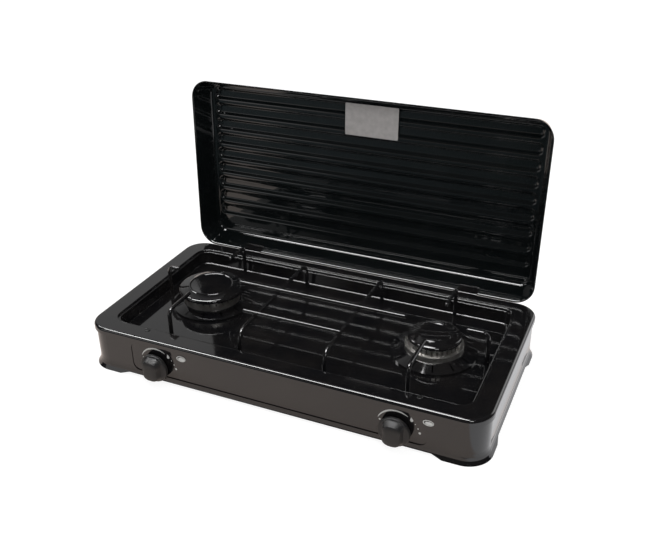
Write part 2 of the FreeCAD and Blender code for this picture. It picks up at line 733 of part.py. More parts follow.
def clamp_screw_places(x):
    """The two screws of a clamp, in front of and behind the rail."""
    return [(x, RAIL_Y + direction * CLAMP_SCREW_PITCH / 2) for direction in (-1, 1)]


def make_tap_body(side):
    """The brass tap body with its seat on the rail."""
    x = side * BURNER_X
    barrel = rod(x, TAP_Y, TAP_END_Y, TAP_Z, TAP_RADIUS)
    nose = rod(x, TAP_END_Y, NOSE_END_Y, TAP_Z, NOSE_RADIUS)
    seat = clamp_block(x, RAIL_Z + 0.2, TAP_Z - TAP_RADIUS * 0.5)
    rail = axle(x - CLAMP_WIDTH, x + CLAMP_WIDTH, RAIL_Y, RAIL_Z, RAIL_RADIUS)
    plug_bore = rod(x, TAP_Y - 1, TAP_Y + PLUG_LENGTH + 2 * FIT, TAP_Z, PLUG_RADIUS + FIT)
    outlet = rod(x, TAP_Y, NOSE_END_Y + 1, TAP_Z, PORT_RADIUS + 0.5)
    port = post(x, RAIL_Y, RAIL_Z, TAP_Z, PORT_RADIUS)
    cuts = [rail, plug_bore, outlet, port]
    for place_x, place_y in clamp_screw_places(x):
        cuts.append(post(place_x, place_y, RAIL_Z, RAIL_Z + 4.0, CLAMP_SCREW_RADIUS))
    return barrel.fuse([nose, seat]).cut(Part.makeCompound(cuts))


def make_clamps():
    """The lower halves of the seats."""
    clamps = []
    for name, side in SIDES:
        x = side * BURNER_X
        clamp = clamp_block(x, RAIL_Z - 0.2 - CLAMP_THICKNESS, RAIL_Z - 0.2)
        rail = axle(x - CLAMP_WIDTH, x + CLAMP_WIDTH, RAIL_Y, RAIL_Z, RAIL_RADIUS)
        holes = [post(place_x, place_y, 0, RAIL_Z, CLAMP_SCREW_RADIUS)
                 for place_x, place_y in clamp_screw_places(x)]
        clamps.append(clamp.cut(Part.makeCompound([rail] + holes)))
    return Part.makeCompound(clamps)


def make_clamp_screws():
    """The screws that draw each clamp up to its tap."""
    screws = []
    clamp_low = RAIL_Z - 0.2 - CLAMP_THICKNESS
    for name, side in SIDES:
        for x, y in clamp_screw_places(side * BURNER_X):
            shank = post(x, y, clamp_low, RAIL_Z + 3.8, CLAMP_SCREW_RADIUS)
            head = post(x, y, clamp_low - SCREW_HEAD, clamp_low, CLAMP_SCREW_RADIUS + 1.3)
            screws.append(shank.fuse(head))
    return Part.makeCompound(screws)


def make_bonnet(side):
    """The nut that keeps the plug in the tap body and guides the spindle."""
    x = side * BURNER_X
    nut = hexagon(BONNET_WIDTH, BONNET_LENGTH, Vector(x, BONNET_Y, TAP_Z), Y_AXIS)
    return nut.cut(rod(x, BONNET_Y - 1, TAP_Y + 1, TAP_Z, SPINDLE_RADIUS + FREE))


def flat_cut(x, y0, y1):
    """The block that leaves a flat on a spindle, on its upper side."""
    size = 2 * SPINDLE_RADIUS
    level = TAP_Z + SPINDLE_RADIUS - SPINDLE_FLAT
    return block(x - size, x + size, y0, y1, level, level + size)


def d_bore(x, y0, y1):
    """A hole that takes the spindle and its flat with a running clearance."""
    radius = SPINDLE_RADIUS + FIT
    size = 2 * radius
    level = TAP_Z + SPINDLE_RADIUS - SPINDLE_FLAT + FIT
    hole = rod(x, y0, y1, TAP_Z, radius)
    return hole.cut(block(x - size, x + size, y0 - 1, y1 + 1, level, level + size))


def make_plug(side):
    """The plug that turns in the tap body and opens its port."""
    x = side * BURNER_X
    plug = rod(x, PLUG_Y, PLUG_Y + PLUG_LENGTH, TAP_Z, PLUG_RADIUS)
    outlet = rod(x, BORE_END_Y + 1.5, PLUG_Y + PLUG_LENGTH + 1, TAP_Z, PORT_RADIUS)
    side_port = axle(x, x + PLUG_RADIUS + 1, PLUG_Y + PLUG_LENGTH - 2.0, TAP_Z, PORT_RADIUS * 0.6)
    return plug.cut(Part.makeCompound([d_bore(x, PLUG_Y - 1, BORE_END_Y), outlet, side_port]))


def make_spindle(side):
    """The spindle with a flat at each end and the collar that its spring bears on."""
    x = side * BURNER_X
    shaft = rod(x, SPINDLE_START_Y, SPINDLE_END_Y, TAP_Z, SPINDLE_RADIUS)
    collar = rod(x, COLLAR_Y, COLLAR_Y + SPINDLE_COLLAR_LENGTH, TAP_Z, SPINDLE_COLLAR_RADIUS)
    front = flat_cut(x, SPINDLE_START_Y - 1, KNOB_BACK_Y)
    rear = flat_cut(x, TAP_Y - KNOB_TRAVEL - FREE, SPINDLE_END_Y + 1)
    return shaft.fuse(collar).cut(Part.makeCompound([front, rear]))


def spring_section(angle, rise, coil_radius, x):
    """One section of the spring wire, a flat polygon across the coil."""
    radius = SPRING_WIRE / 2
    points = []
    for corner in range(SPRING_SIDES + 1):
        turn = math.radians(360 * corner / SPRING_SIDES)
        out = coil_radius + radius * math.cos(turn)
        along = SPRING_START_Y + radius + rise + radius * math.sin(turn)
        points.append(Vector(x + out * math.cos(angle), along, TAP_Z + out * math.sin(angle)))
    return Part.makePolygon(points)


def make_spring(side):
    """The coil spring between the bonnet and the collar of the spindle."""
    x = side * BURNER_X
    length = BONNET_Y - SPRING_START_Y - SPRING_WIRE
    coil_radius = SPINDLE_COLLAR_RADIUS - SPRING_WIRE / 2
    steps = int(SPRING_TURNS * SPRING_STEPS)
    sections = []
    for step in range(steps + 1):
        angle = 2 * math.pi * step / SPRING_STEPS
        sections.append(spring_section(angle, length * step / steps, coil_radius, x))
    return Part.makeLoft(sections, True, True)


def make_jet(side):
    """The injector in the nose of the tap."""
    x = side * BURNER_X
    hexagonal = hexagon(JET_WIDTH, JET_LENGTH / 2, Vector(x, NOSE_END_Y, TAP_Z), Y_AXIS)
    middle = NOSE_END_Y + JET_LENGTH / 2
    tip = turned_along_y(((0, middle), (2.6, middle), (1.8, JET_END_Y), (0, JET_END_Y)), x, TAP_Z)
    bore = rod(x, NOSE_END_Y - 1, middle, TAP_Z, PORT_RADIUS)
    hole = rod(x, middle - 1, JET_END_Y + 1, TAP_Z, JET_BORE)
    return hexagonal.fuse(tip).cut(Part.makeCompound([bore, hole]))


def make_rail_brackets():
    """Sheet brackets that hang the rail from the front wall."""
    brackets = []
    half = BRACKET_WIDTH / 2
    top = TAP_Z + BRACKET_RISE
    for x in bracket_feet():
        plate = block(x - half, x + half, FRONT_INSIDE_Y, FRONT_INSIDE_Y + BRACKET_SHEET, RAIL_Z, top)
        shelf = block(x - half, x + half, FRONT_INSIDE_Y, RAIL_Y, RAIL_Z - RAIL_RADIUS - BRACKET_SHEET,
                      RAIL_Z - RAIL_RADIUS)
        heel = block(x - half, x + half, FRONT_INSIDE_Y, FRONT_INSIDE_Y + BRACKET_SHEET,
                     RAIL_Z - RAIL_RADIUS - BRACKET_SHEET, RAIL_Z)
        outer = axle(x - half, x + half, RAIL_Y, RAIL_Z, RAIL_RADIUS + BRACKET_SHEET)
        behind = block(x - half, x + half, RAIL_Y, RAIL_Y + 2 * RAIL_RADIUS, RAIL_Z - 2 * RAIL_RADIUS,
                       RAIL_Z + 2 * RAIL_RADIUS)
        hook = outer.common(behind)
        pipe = axle(x - half - 1, x + half + 1, RAIL_Y, RAIL_Z, RAIL_RADIUS)
        hole = rod(x, FRONT_INSIDE_Y - 1, FRONT_INSIDE_Y + BRACKET_SHEET + 1, BRACKET_RIVET_Z,
                   RIVET_RADIUS)
        brackets.append(plate.fuse([shelf, heel, hook]).cut(Part.makeCompound([pipe, hole])))
    return Part.makeCompound(brackets)


def make_bracket_rivets():
    """Flat rivets that hold the rail brackets to the front wall."""
    rivets = []
    for x in bracket_feet():
        inner = FRONT_INSIDE_Y + BRACKET_SHEET
        shank = rod(x, FRONT_FACE_Y, inner, BRACKET_RIVET_Z, RIVET_RADIUS)
        head = rod(x, inner, inner + RIVET_HEAD_HEIGHT, BRACKET_RIVET_Z, RIVET_HEAD)
        rivets.append(shank.fuse(head))
    return Part.makeCompound(rivets)


def make_inlet_block():
    """The brass block that joins the rail to the hose nozzle."""
    front = WALL_Y - SHEET - INLET_BLOCK_LENGTH
    half = INLET_BLOCK_WIDTH / 2
    low = RAIL_Z - RAIL_RADIUS - 2
    high = INLET_Z + NOZZLE_STEM_RADIUS + 3
    body = block(INLET_X - half, INLET_X + half, front, WALL_Y - SHEET, low, high)
    socket = rod(INLET_X, front - 1, front + 3.0, RAIL_Z, RAIL_RADIUS)
    riser = post(INLET_X, front + 7.0, RAIL_Z, INLET_Z, RAIL_BORE)
    lower = rod(INLET_X, front, front + 7.0, RAIL_Z, RAIL_BORE)
    upper = rod(INLET_X, front + 7.0, WALL_Y, INLET_Z, RAIL_BORE)
    thread = rod(INLET_X, WALL_Y - SHEET - 8.0, WALL_Y, INLET_Z, NOZZLE_STEM_RADIUS)
    upright = [edge for edge in body.Edges if abs(edge.tangentAt(edge.FirstParameter).z) > 0.9]
    body = body.makeFillet(1.5, upright)
    return body.cut(Part.makeCompound([socket, riser, lower, upper, thread]))


def make_hose_nozzle():
    """The nozzle for the gas hose, screwed through the rear wall."""
    stem_start = WALL_Y - SHEET - 8.0
    stem = rod(INLET_X, stem_start, WALL_Y, INLET_Z, NOZZLE_STEM_RADIUS)
    flange = hexagon(NOZZLE_FLANGE_WIDTH, NOZZLE_FLANGE_LENGTH, Vector(INLET_X, WALL_Y, INLET_Z), Y_AXIS)
    tail_start = WALL_Y + NOZZLE_FLANGE_LENGTH
    tail_end = tail_start + NOZZLE_LENGTH
    tail = rod(INLET_X, tail_start, tail_end, INLET_Z, NOZZLE_RADIUS)
    tip_end = tail_end + NOZZLE_TAPER_LENGTH
    tip = turned_along_y(((0, tail_end), (NOZZLE_RADIUS, tail_end), (NOZZLE_RADIUS - NOZZLE_TAPER, tip_end),
                          (0, tip_end)), INLET_X, INLET_Z)
    bore = rod(INLET_X, stem_start - 1, tip_end + 1, INLET_Z, NOZZLE_BORE)
    return stem.fuse([flange, tail, tip]).cut(bore)


def grip_wire(scale, y, x):
    """The outline of the grip of a knob, a bar with round ends, at one depth."""
    half_width = GRIP_WIDTH / 2 - scale
    half_height = GRIP_HEIGHT / 2 - scale
    waist = half_width - GRIP_WAIST
    shoulder = half_height - half_width * 0.8
    right_top = Vector(x + half_width, y, TAP_Z + shoulder)
    right_low = Vector(x + half_width, y, TAP_Z - shoulder)
    left_top = Vector(x - half_width, y, TAP_Z + shoulder)
    left_low = Vector(x - half_width, y, TAP_Z - shoulder)
    edges = [
        Part.Arc(right_low, Vector(x + waist, y, TAP_Z), right_top).toShape(),
        Part.Arc(right_top, Vector(x, y, TAP_Z + half_height), left_top).toShape(),
        Part.Arc(left_top, Vector(x - waist, y, TAP_Z), left_low).toShape(),
        Part.Arc(left_low, Vector(x, y, TAP_Z - half_height), right_low).toShape(),
    ]
    return Part.Wire(edges)


def make_knob(side):
    """The moulded knob, a round skirt with a waisted grip, hollow behind."""
    x = side * BURNER_X
    back = KNOB_BACK_Y
    front = back - KNOB_SKIRT
    skirt = turned_along_y(((0, back), (KNOB_RADIUS, back), (KNOB_RADIUS, back - 1.0),
                            (KNOB_RADIUS - KNOB_TAPER * 0.5, front + 0.6),
                            (KNOB_RADIUS - KNOB_TAPER, front), (0, front)), x, TAP_Z)
    root_y = front + 1.0
    shoulder_y = KNOB_FACE_Y + GRIP_BEVEL
    outlines = [grip_wire(0, root_y, x), grip_wire(GRIP_TAPER, shoulder_y, x),
                grip_wire(GRIP_TAPER + GRIP_BEVEL, KNOB_FACE_Y, x)]
    grip = Part.makeLoft(outlines, True, True)
    knob = skirt.fuse(grip)
    inner = KNOB_RADIUS - KNOB_SHELL
    hollow = turned_along_y(((HUB_RADIUS, back + 1), (inner, back + 1), (inner, front + KNOB_SHELL),
                             (HUB_RADIUS, front + KNOB_SHELL)), x, TAP_Z)
    return knob.cut(hollow).cut(d_bore(x, SPINDLE_START_Y - FIT, back + 1))


def lid_shell(outset, low, high):
    """The drafted block of the lid, or of the space inside it."""
    run = math.tan(math.radians(LID_DRAFT))
    width = LID_WIDTH + 2 * outset
    length = LID_LENGTH + 2 * outset
    radius = LID_RADIUS + outset
    sections = []
    for z in (low, high):
        step = run * z
        sections.append((width - 2 * step, length - 2 * step, radius - step, z))
    centre_y = LID_BACK_Y - LID_LENGTH / 2
    solid = stack(sections, centre_y)
    return solid.makeFillet(LID_ROUND + outset, edges_at_height(solid, high))


def rib_bars(radius, level):
    """The pressed ribs as round bars whose middles lie below the panel."""
    bars = []
    half = RIB_LENGTH / 2 - RIB_WIDTH / 2
    for index in range(RIB_COUNT):
        y = LID_BACK_Y - RIB_REAR_MARGIN - index * RIB_PITCH
        bar = axle(-half, half, y, level, radius)
        ends = [Part.makeSphere(radius, Vector(place, y, level)) for place in (-half, half)]
        bars.append(bar.fuse(ends))
    return bars


def make_lid():
    """The ribbed lid, modelled closed and then opened with the leaves and rivets."""
    rib_radius = (RIB_WIDTH * RIB_WIDTH / 4 + RIB_HEIGHT * RIB_HEIGHT) / (2 * RIB_HEIGHT)
    level = LID_DEPTH + RIB_HEIGHT - rib_radius
    outer = lid_shell(0, 0, LID_DEPTH).fuse(rib_bars(rib_radius, level))
    void = lid_shell(-SHEET, -1, LID_DEPTH - SHEET).fuse(rib_bars(rib_radius - SHEET, level))
    lid = outer.cut(void)
    lid.translate(Vector(0, 0, LID_LIP_Z))
    holes = [rivet_shape(x, along, 0) for x, along in lid_rivet_places()]
    return lid.cut(Part.makeCompound(holes))


def wall_frame(solid):
    """Places a solid, made on the flat, against the inside of the drafted rear wall of the lid."""
    solid.rotate(Vector(0, 0, 0), X_AXIS, LID_DRAFT)
    solid.translate(Vector(0, LID_BACK_Y, LID_LIP_Z))
    return solid


def lid_rivet_places():
    """The rivets of the upper leaves, as places along X and up the wall."""
    places = []
    for name, side in SIDES:
        for direction in (-1, 1):
            places.append((side * HINGE_X + direction * RIVET_PITCH / 2, LEAF_LENGTH * 0.55))
    return places


def wall_thickness():
    """The thickness of the lid's rear wall, measured square to it."""
    return SHEET * math.cos(math.radians(LID_DRAFT))


def rivet_shape(x, along, head):
    """A rivet through the rear wall of the lid and the leaf inside it."""
    inside = wall_thickness() + LEAF_SHEET
    shank = rod(x, -inside, 0, along, RIVET_RADIUS)
    if head:
        inner = rod(x, -inside - RIVET_HEAD_HEIGHT, -inside, along, RIVET_HEAD)
        outer = rod(x, 0, RIVET_HEAD_HEIGHT, along, RIVET_HEAD)
        shank = shank.fuse([inner, outer])
    return wall_frame(shank)


def make_lid_rivets():
    """Rivets of the upper hinge leaves."""
    return Part.makeCompound([rivet_shape(x, along, 1) for x, along in lid_rivet_places()])


def knuckle(x0, x1):
    """One knuckle of a hinge, before its bore."""
    return axle(x0, x1, HINGE_Y, HINGE_Z, BARREL_RADIUS)


def make_lid_leaf(side):
    """The upper leaf, riveted inside the lid and rolled round the pin in one knuckle."""
    x = side * HINGE_X
    half = HINGE_WIDTH / 2
    half_knuckle = KNUCKLE / 2
    inside = -wall_thickness()
    plate = block(x - half, x + half, inside - LEAF_SHEET, inside, 0.8, LEAF_LENGTH)
    tongue_low = HINGE_Z - LID_LIP_Z
    tongue = block(x - half_knuckle, x + half_knuckle, inside - LEAF_SHEET, inside, tongue_low, 1.0)
    leaf = wall_frame(plate.fuse(tongue)).fuse(knuckle(x - half_knuckle, x + half_knuckle))
    bore = axle(x - half, x + half, HINGE_Y, HINGE_Z, PIN_RADIUS + FIT)
    holes = [rivet_shape(place, along, 0) for place, along in lid_rivet_places()]
    return leaf.cut(Part.makeCompound([bore] + holes))


def make_body_leaf(side):
    """The lower leaf, riveted under the rim and rolled into two knuckles."""
    x = side * HINGE_X
    half = HINGE_WIDTH / 2
    inner = KNUCKLE / 2 + KNUCKLE_GAP
    top = RIM_HEIGHT - SHEET
    front = HINGE_Y - BARREL_RADIUS - LEAF_LENGTH
    plate = block(x - half, x + half, front, HINGE_Y, top - LEAF_SHEET, top)
    gap = block(x - inner, x + inner, BODY_DEPTH / 2 - NOTCH_DEPTH - 1.2, HINGE_Y + 1,
                top - LEAF_SHEET - 1, top + 1)
    leaf = plate.cut(gap)
    for direction in (-1, 1):
        ends = sorted((x + direction * inner, x + direction * half))
        leaf = leaf.fuse(knuckle(ends[0], ends[1]))
    bore = axle(x - half - 1, x + half + 1, HINGE_Y, HINGE_Z, PIN_RADIUS)
    holes = [post(place_x, place_y, top - LEAF_SHEET - 1, top + 1, RIVET_RADIUS)
             for place_x, place_y in body_rivet_places()]
    return leaf.cut(Part.makeCompound([bore] + holes))


def make_body_rivets():
    """Rivets of the lower hinge leaves, flush with the rim."""
    rivets = []
    for x, y in body_rivet_places():
        low = RIM_HEIGHT - SHEET - LEAF_SHEET
        shank = post(x, y, low, RIM_HEIGHT, RIVET_RADIUS)
        head = post(x, y, low - RIVET_HEAD_HEIGHT, low, RIVET_HEAD)
        rivets.append(shank.fuse(head))
    return Part.makeCompound(rivets)


def make_hinge_pins():
    """The hinge pins, with a peened head at each end."""
    pins = []
    for name, side in SIDES:
        x = side * HINGE_X
        half = HINGE_WIDTH / 2
        pin = axle(x - half, x + half, HINGE_Y, HINGE_Z, PIN_RADIUS)
        heads = [axle(x - half - 0.6, x - half, HINGE_Y, HINGE_Z, BARREL_RADIUS - 0.3),
                 axle(x + half, x + half + 0.6, HINGE_Y, HINGE_Z, BARREL_RADIUS - 0.3)]
        pins.append(pin.fuse(heads))
    return Part.makeCompound(pins)


def make_buffers():
    """Rubber buttons on the front rim that the closed lid rests on."""
    buffers = []
    for name, side in SIDES:
        y = LID_FRONT_Y + SHEET / 2
        button = post(side * BUFFER_X, y, RIM_HEIGHT, RIM_HEIGHT + BUFFER_HEIGHT, BUFFER_RADIUS)
        top_edges = edges_at_height(button, RIM_HEIGHT + BUFFER_HEIGHT)
        buffers.append(button.makeFillet(BUFFER_HEIGHT * 0.5, top_edges))
    return Part.makeCompound(buffers)


def make_parts():
    """Every piece by name, in the shared frame, with the lid open."""
    parts = {"hob_body": make_hob_body()}
    parts["support_long_wire_rear"] = make_long_wire(
        LONG_REACH["left"] - BURNER_X, BURNER_X - LONG_REACH["right"], BURNER_Y)
    parts["support_long_wire_front"] = make_long_wire(
        -CROSS_X - LONG_OVERHANG["left"], CROSS_X + LONG_OVERHANG["right"], LONG_FRONT_Y)
    parts["support_nuts"] = make_support_nuts()
    parts["throat_screws"] = make_lug_screws()
    parts["gas_rail"] = make_gas_rail()
    parts["rail_clamps"] = make_clamps()
    parts["rail_clamp_screws"] = make_clamp_screws()
    parts["rail_brackets"] = make_rail_brackets()
    parts["rail_bracket_rivets"] = make_bracket_rivets()
    parts["inlet_block"] = make_inlet_block()
    parts["hose_nozzle"] = make_hose_nozzle()
    parts["lid_buffers"] = make_buffers()
    parts["hinge_pins"] = make_hinge_pins()
    parts["hinge_rivets_body"] = make_body_rivets()
    for name, side in SIDES:
        burner = BURNERS[name]
        parts["support_cross_wire_" + name] = make_cross_wire(side)
        parts["support_prongs_" + name] = make_prongs(name, side)
        parts["burner_skirt_" + name] = make_skirt(burner)
        parts["burner_crown_" + name] = make_crown(burner)
        parts["burner_cap_" + name] = make_cap(burner)
        parts["mixing_tube_" + name] = make_mixing_tube(burner)
        parts["injector_" + name] = make_jet(side)
        parts["tap_body_" + name] = make_tap_body(side)
        parts["tap_bonnet_" + name] = make_bonnet(side)
        parts["tap_plug_" + name] = make_plug(side)
        parts["tap_spring_" + name] = make_spring(side)
        parts["tap_spindle_" + name] = make_spindle(side)
        parts["knob_" + name] = make_knob(side)
        parts["hinge_leaf_body_" + name] = make_body_leaf(side)
    lid_parts = {"lid": make_lid(), "hinge_rivets_lid": make_lid_rivets()}
    for name, side in SIDES:
        lid_parts["hinge_leaf_lid_" + name] = make_lid_leaf(side)
    for name, shape in lid_parts.items():
        shape.rotate(Vector(0, HINGE_Y, HINGE_Z), X_AXIS, -LID_OPEN)
        parts[name] = shape
    return parts


def frame_shift(parts):
    """The move that puts the middle of the whole stove over the origin."""
    box = Part.makeCompound(list(parts.values())).BoundBox
    return Vector(-box.Center.x, -box.Center.y, 0)


def main():
    """Builds every piece and writes one file for each."""
    os.makedirs("parts", exist_ok=True)
    parts = make_parts()
    shift = frame_shift(parts)
    print("shift", shift)
    for name, shape in parts.items():
        shape.translate(shift)
        print(name, len(shape.Solids), "solids", round(shape.Volume), "mm3", shape.isValid())
        shape.exportStep("parts/" + name + ".step")


main()
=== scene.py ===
"""Visual model of a two-burner gas table stove with its ribbed lid standing open."""
import json
import logging
import math
from collections.abc import Iterable, Sequence
from dataclasses import dataclass, field
from enum import Enum

import bmesh
import bpy
from mathutils import Matrix, Vector


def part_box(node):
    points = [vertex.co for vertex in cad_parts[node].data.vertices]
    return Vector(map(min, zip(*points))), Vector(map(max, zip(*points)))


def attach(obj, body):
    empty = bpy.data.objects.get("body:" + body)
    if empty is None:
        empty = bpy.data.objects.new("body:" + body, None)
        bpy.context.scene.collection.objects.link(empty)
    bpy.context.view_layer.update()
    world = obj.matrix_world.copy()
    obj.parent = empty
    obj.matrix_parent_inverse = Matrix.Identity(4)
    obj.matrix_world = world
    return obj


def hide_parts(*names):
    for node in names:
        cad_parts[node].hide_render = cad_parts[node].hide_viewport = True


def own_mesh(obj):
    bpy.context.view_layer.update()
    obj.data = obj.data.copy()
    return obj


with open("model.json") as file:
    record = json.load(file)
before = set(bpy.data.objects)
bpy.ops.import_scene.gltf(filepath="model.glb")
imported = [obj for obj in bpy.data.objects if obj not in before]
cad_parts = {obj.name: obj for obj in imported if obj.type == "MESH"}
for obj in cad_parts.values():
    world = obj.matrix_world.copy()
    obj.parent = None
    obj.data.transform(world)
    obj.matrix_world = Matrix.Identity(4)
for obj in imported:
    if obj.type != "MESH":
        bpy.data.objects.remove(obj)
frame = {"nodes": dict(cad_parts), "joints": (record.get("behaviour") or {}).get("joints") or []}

LOG = logging.getLogger("stove")
MM = 0.001
IMAGE_WIDTH = 650
SHARP_ANGLE = math.radians(40)
SIDES = ("left", "right")
WHITE = (1.0, 1.0, 1.0, 1.0)

Colour = tuple[float, float, float]
Point = tuple[float, float]
Oval = tuple[float, float, float, float]
Stops = tuple[Point, ...]


class Value:
    """A node's output that takes part in shader sums."""

    def __init__(self, graph: "Graph", socket: bpy.types.NodeSocket) -> None:
        """Keeps the socket and the graph that it belongs to."""
        self.graph = graph
        self.socket = socket

    def _sum(self, operation: str, first: object, second: object) -> "Value":
        """The result of a Math node on two values or numbers."""
        return self.graph.add("Math", {"operation": operation}, {0: first, 1: second})

    def __add__(self, other: object) -> "Value":
        """The value plus another."""
        return self._sum("ADD", self, other)

    __radd__ = __add__

    def __sub__(self, other: object) -> "Value":
        """The value less another."""
        return self._sum("SUBTRACT", self, other)

    def __rsub__(self, other: object) -> "Value":
        """Another less the value."""
        return self._sum("SUBTRACT", other, self)

    def __mul__(self, other: object) -> "Value":
        """The value times another."""
        return self._sum("MULTIPLY", self, other)

    __rmul__ = __mul__


class Graph:
    """The node graph of one material or of the world."""

    def __init__(self, tree: bpy.types.NodeTree, output: str) -> None:
        """Empties the tree and adds its output node."""
        self.tree = tree
        tree.nodes.clear()
        self.output = tree.nodes.new(output)

    def add(self, kind: str, settings: dict[str, object] | None = None,
            inputs: dict[object, object] | None = None, output: object = 0) -> Value:
        """Adds one shader node.

        Args:
            kind: the node's type without its prefix.
            settings: the node's own settings; "stops" gives the places and colours of a ramp.
            inputs: numbers, colours or values for the sockets, by name or place.
            output: the name or place of the output that is wanted.

        Returns:
            That output.
        """
        node = self.tree.nodes.new("ShaderNode" + kind)
        for key, value in (settings or {}).items():
            if key == "stops":
                self._set_stops(node.color_ramp, value)
            else:
                setattr(node, key, value)
        for key, value in (inputs or {}).items():
            if isinstance(value, Value):
                self.tree.links.new(value.socket, node.inputs[key])
            else:
                node.inputs[key].default_value = value
        return Value(self, node.outputs[output])

    @staticmethod
    def _set_stops(ramp: bpy.types.ColorRamp, stops: Stops) -> None:
        """Gives a ramp its stops, each a place and a grey level."""
        while len(ramp.elements) < len(stops):
            ramp.elements.new(1.0)
        for element, (place, level) in zip(ramp.elements, stops):
            element.position = place
            element.color = (level, level, level, 1.0)

    def finish(self, shader: Value) -> None:
        """Links a shader to the output."""
        self.tree.links.new(shader.socket, self.output.inputs["Surface"])

    def place(self, stretch: Sequence[float] = (1.0, 1.0, 1.0)) -> Value:
        """The point on the object in metres, stretched along its axes."""
        point = self.add("TexCoord", output="Object")
        return self.add("Mapping", inputs={"Vector": point, "Scale": stretch})

    def noise(self, scale: float, detail: float = 2.0,
              stretch: Sequence[float] = (1.0, 1.0, 1.0)) -> Value:
        """Soft noise between 0 and 1, with a number of waves per metre."""
        inputs = {"Vector": self.place(stretch), "Scale": scale, "Detail": detail}
        return self.add("TexNoise", inputs=inputs)

    def ramp(self, value: Value, stops: Stops) -> Value:
        """The value sent through a ramp of grey stops."""
        return self.add("ValToRGB", {"stops": stops}, {0: value})

    def tint(self, mask: Value, first: Colour, second: Colour) -> Value:
        """A colour between two, by a mask."""
        inputs = {0: mask, 6: (*first, 1.0), 7: (*second, 1.0)}
        return self.add("Mix", {"data_type": "RGBA"}, inputs, 2)

    def relief(self, height: Value, depth: float, strength: float = 1.0) -> Value:
        """A bump of a height between 0 and 1 and a depth in metres."""
        inputs = {"Height": height, "Distance": depth, "Strength": strength}
        return self.add("Bump", inputs=inputs)

    def part(self, vector: Value, axis: str = "X") -> Value:
        """One part of a vector."""
        return self.add("SeparateXYZ", inputs={0: vector}, output=axis)

    def ray(self, kind: str) -> Value:
        """Whether the ray that is followed is of a kind."""
        return self.add("LightPath", output=f"Is {kind} Ray")


def new_material(name: str) -> tuple[bpy.types.Material, Graph]:
    """A new material with an empty graph."""
    material = bpy.data.materials.new(name)
    material.use_nodes = True
    return material, Graph(material.node_tree, "ShaderNodeOutputMaterial")


@dataclass(frozen=True)
class Blotches:
    """Blotches of noise, which rise from 0 to 1 between two of its levels."""

    scale: float
    detail: float
    start: float
    end: float

    def mask(self, graph: Graph) -> Value:
        """The blotches in a graph."""
        noise = graph.noise(self.scale, self.detail)
        return graph.ramp(noise, ((self.start, 0.0), (self.end, 1.0)))


@dataclass(frozen=True)
class Enamel:
    """Black vitreous enamel: a glassy coat that runs in soft waves."""

    name: str
    colour: Colour = (0.006, 0.006, 0.007)
    bloom: Colour = (0.016, 0.014, 0.013)
    roughness: float = 0.045
    haze: float = 0.05
    wave_scale: float = 95.0
    wave_depth: float = 0.05 * MM
    wave_strength: float = 0.35
    clouds: Blotches = Blotches(26.0, 4.0, 0.35, 0.75)
    cloud_tint: float = 0.6
    specks: Blotches = Blotches(1900.0, 1.0, 0.66, 0.74)
    speck_tint: float = 0.35
    speck_haze: float = 0.08

    def make(self) -> bpy.types.Material:
        """The enamel as a material."""
        material, graph = new_material(self.name)
        clouds = self.clouds.mask(graph)
        specks = self.specks.mask(graph)
        waves = graph.noise(self.wave_scale, 1.0)
        graph.finish(graph.add("BsdfPrincipled", inputs={
            "Base Color": graph.tint(clouds * self.cloud_tint + specks * self.speck_tint,
                                     self.colour, self.bloom),
            "Roughness": self.roughness + self.haze * clouds + self.speck_haze * specks,
            "IOR": 1.55,
            "Coat Weight": 0.35,
            "Coat Roughness": 0.03,
            "Normal": graph.relief(waves, self.wave_depth, self.wave_strength),
        }))
        return material


class Grain(Enum):
    """How a bare metal surface was made, as the stretch of its grain."""

    CAST = (1.0, 1.0, 1.0)
    TURNED = (1.0, 1.0, 14.0)
    DRAWN = (0.06, 1.0, 1.0)


@dataclass(frozen=True)
class BareMetal:
    """Uncoated metal with a grain and the stains that it gathers."""

    name: str
    colour: Colour
    stain: Colour
    grain: Grain = Grain.CAST
    roughness: float = 0.28
    grain_scale: float = 900.0
    grain_depth: float = 0.05 * MM
    grain_tint: float = 0.2
    grain_haze: float = 0.12
    stains: Blotches = Blotches(70.0, 5.0, 0.42, 0.72)
    stain_tint: float = 0.8
    stain_haze: float = 0.16
    metallic: float = 1.0

    def make(self) -> bpy.types.Material:
        """The metal as a material."""
        material, graph = new_material(self.name)
        grain = graph.noise(self.grain_scale, 3.0, self.grain.value)
        stains = self.stains.mask(graph)
        graph.finish(graph.add("BsdfPrincipled", inputs={
            "Base Color": graph.tint(stains * self.stain_tint + grain * self.grain_tint,
                                     self.colour, self.stain),
            "Roughness": self.roughness + self.stain_haze * stains + self.grain_haze * grain,
            "Metallic": self.metallic,
            "Normal": graph.relief(grain, self.grain_depth, 0.5),
        }))
        return material


@dataclass(frozen=True)
class Moulded:
    """Moulded plastic or rubber with a fine texture from its mould."""

    name: str
    colour: Colour
    worn: Colour
    roughness: float
    metallic: float = 0.0
    wear: Blotches = Blotches(120.0, 3.0, 0.4, 0.7)
    wear_haze: float = 0.1
    texture_scale: float = 2400.0
    texture_detail: float = 2.0
    texture_depth: float = 0.03 * MM
    texture_strength: float = 0.6

    def make(self) -> bpy.types.Material:
        """The surface as a material."""
        material, graph = new_material(self.name)
        texture = graph.noise(self.texture_scale, self.texture_detail)
        wear = self.wear.mask(graph)
        graph.finish(graph.add("BsdfPrincipled", inputs={
            "Base Color": graph.tint(wear, self.colour, self.worn),
            "Roughness": self.roughness + self.wear_haze * wear,
            "Metallic": self.metallic,
            "Normal": graph.relief(texture, self.texture_depth, self.texture_strength),
        }))
        return material


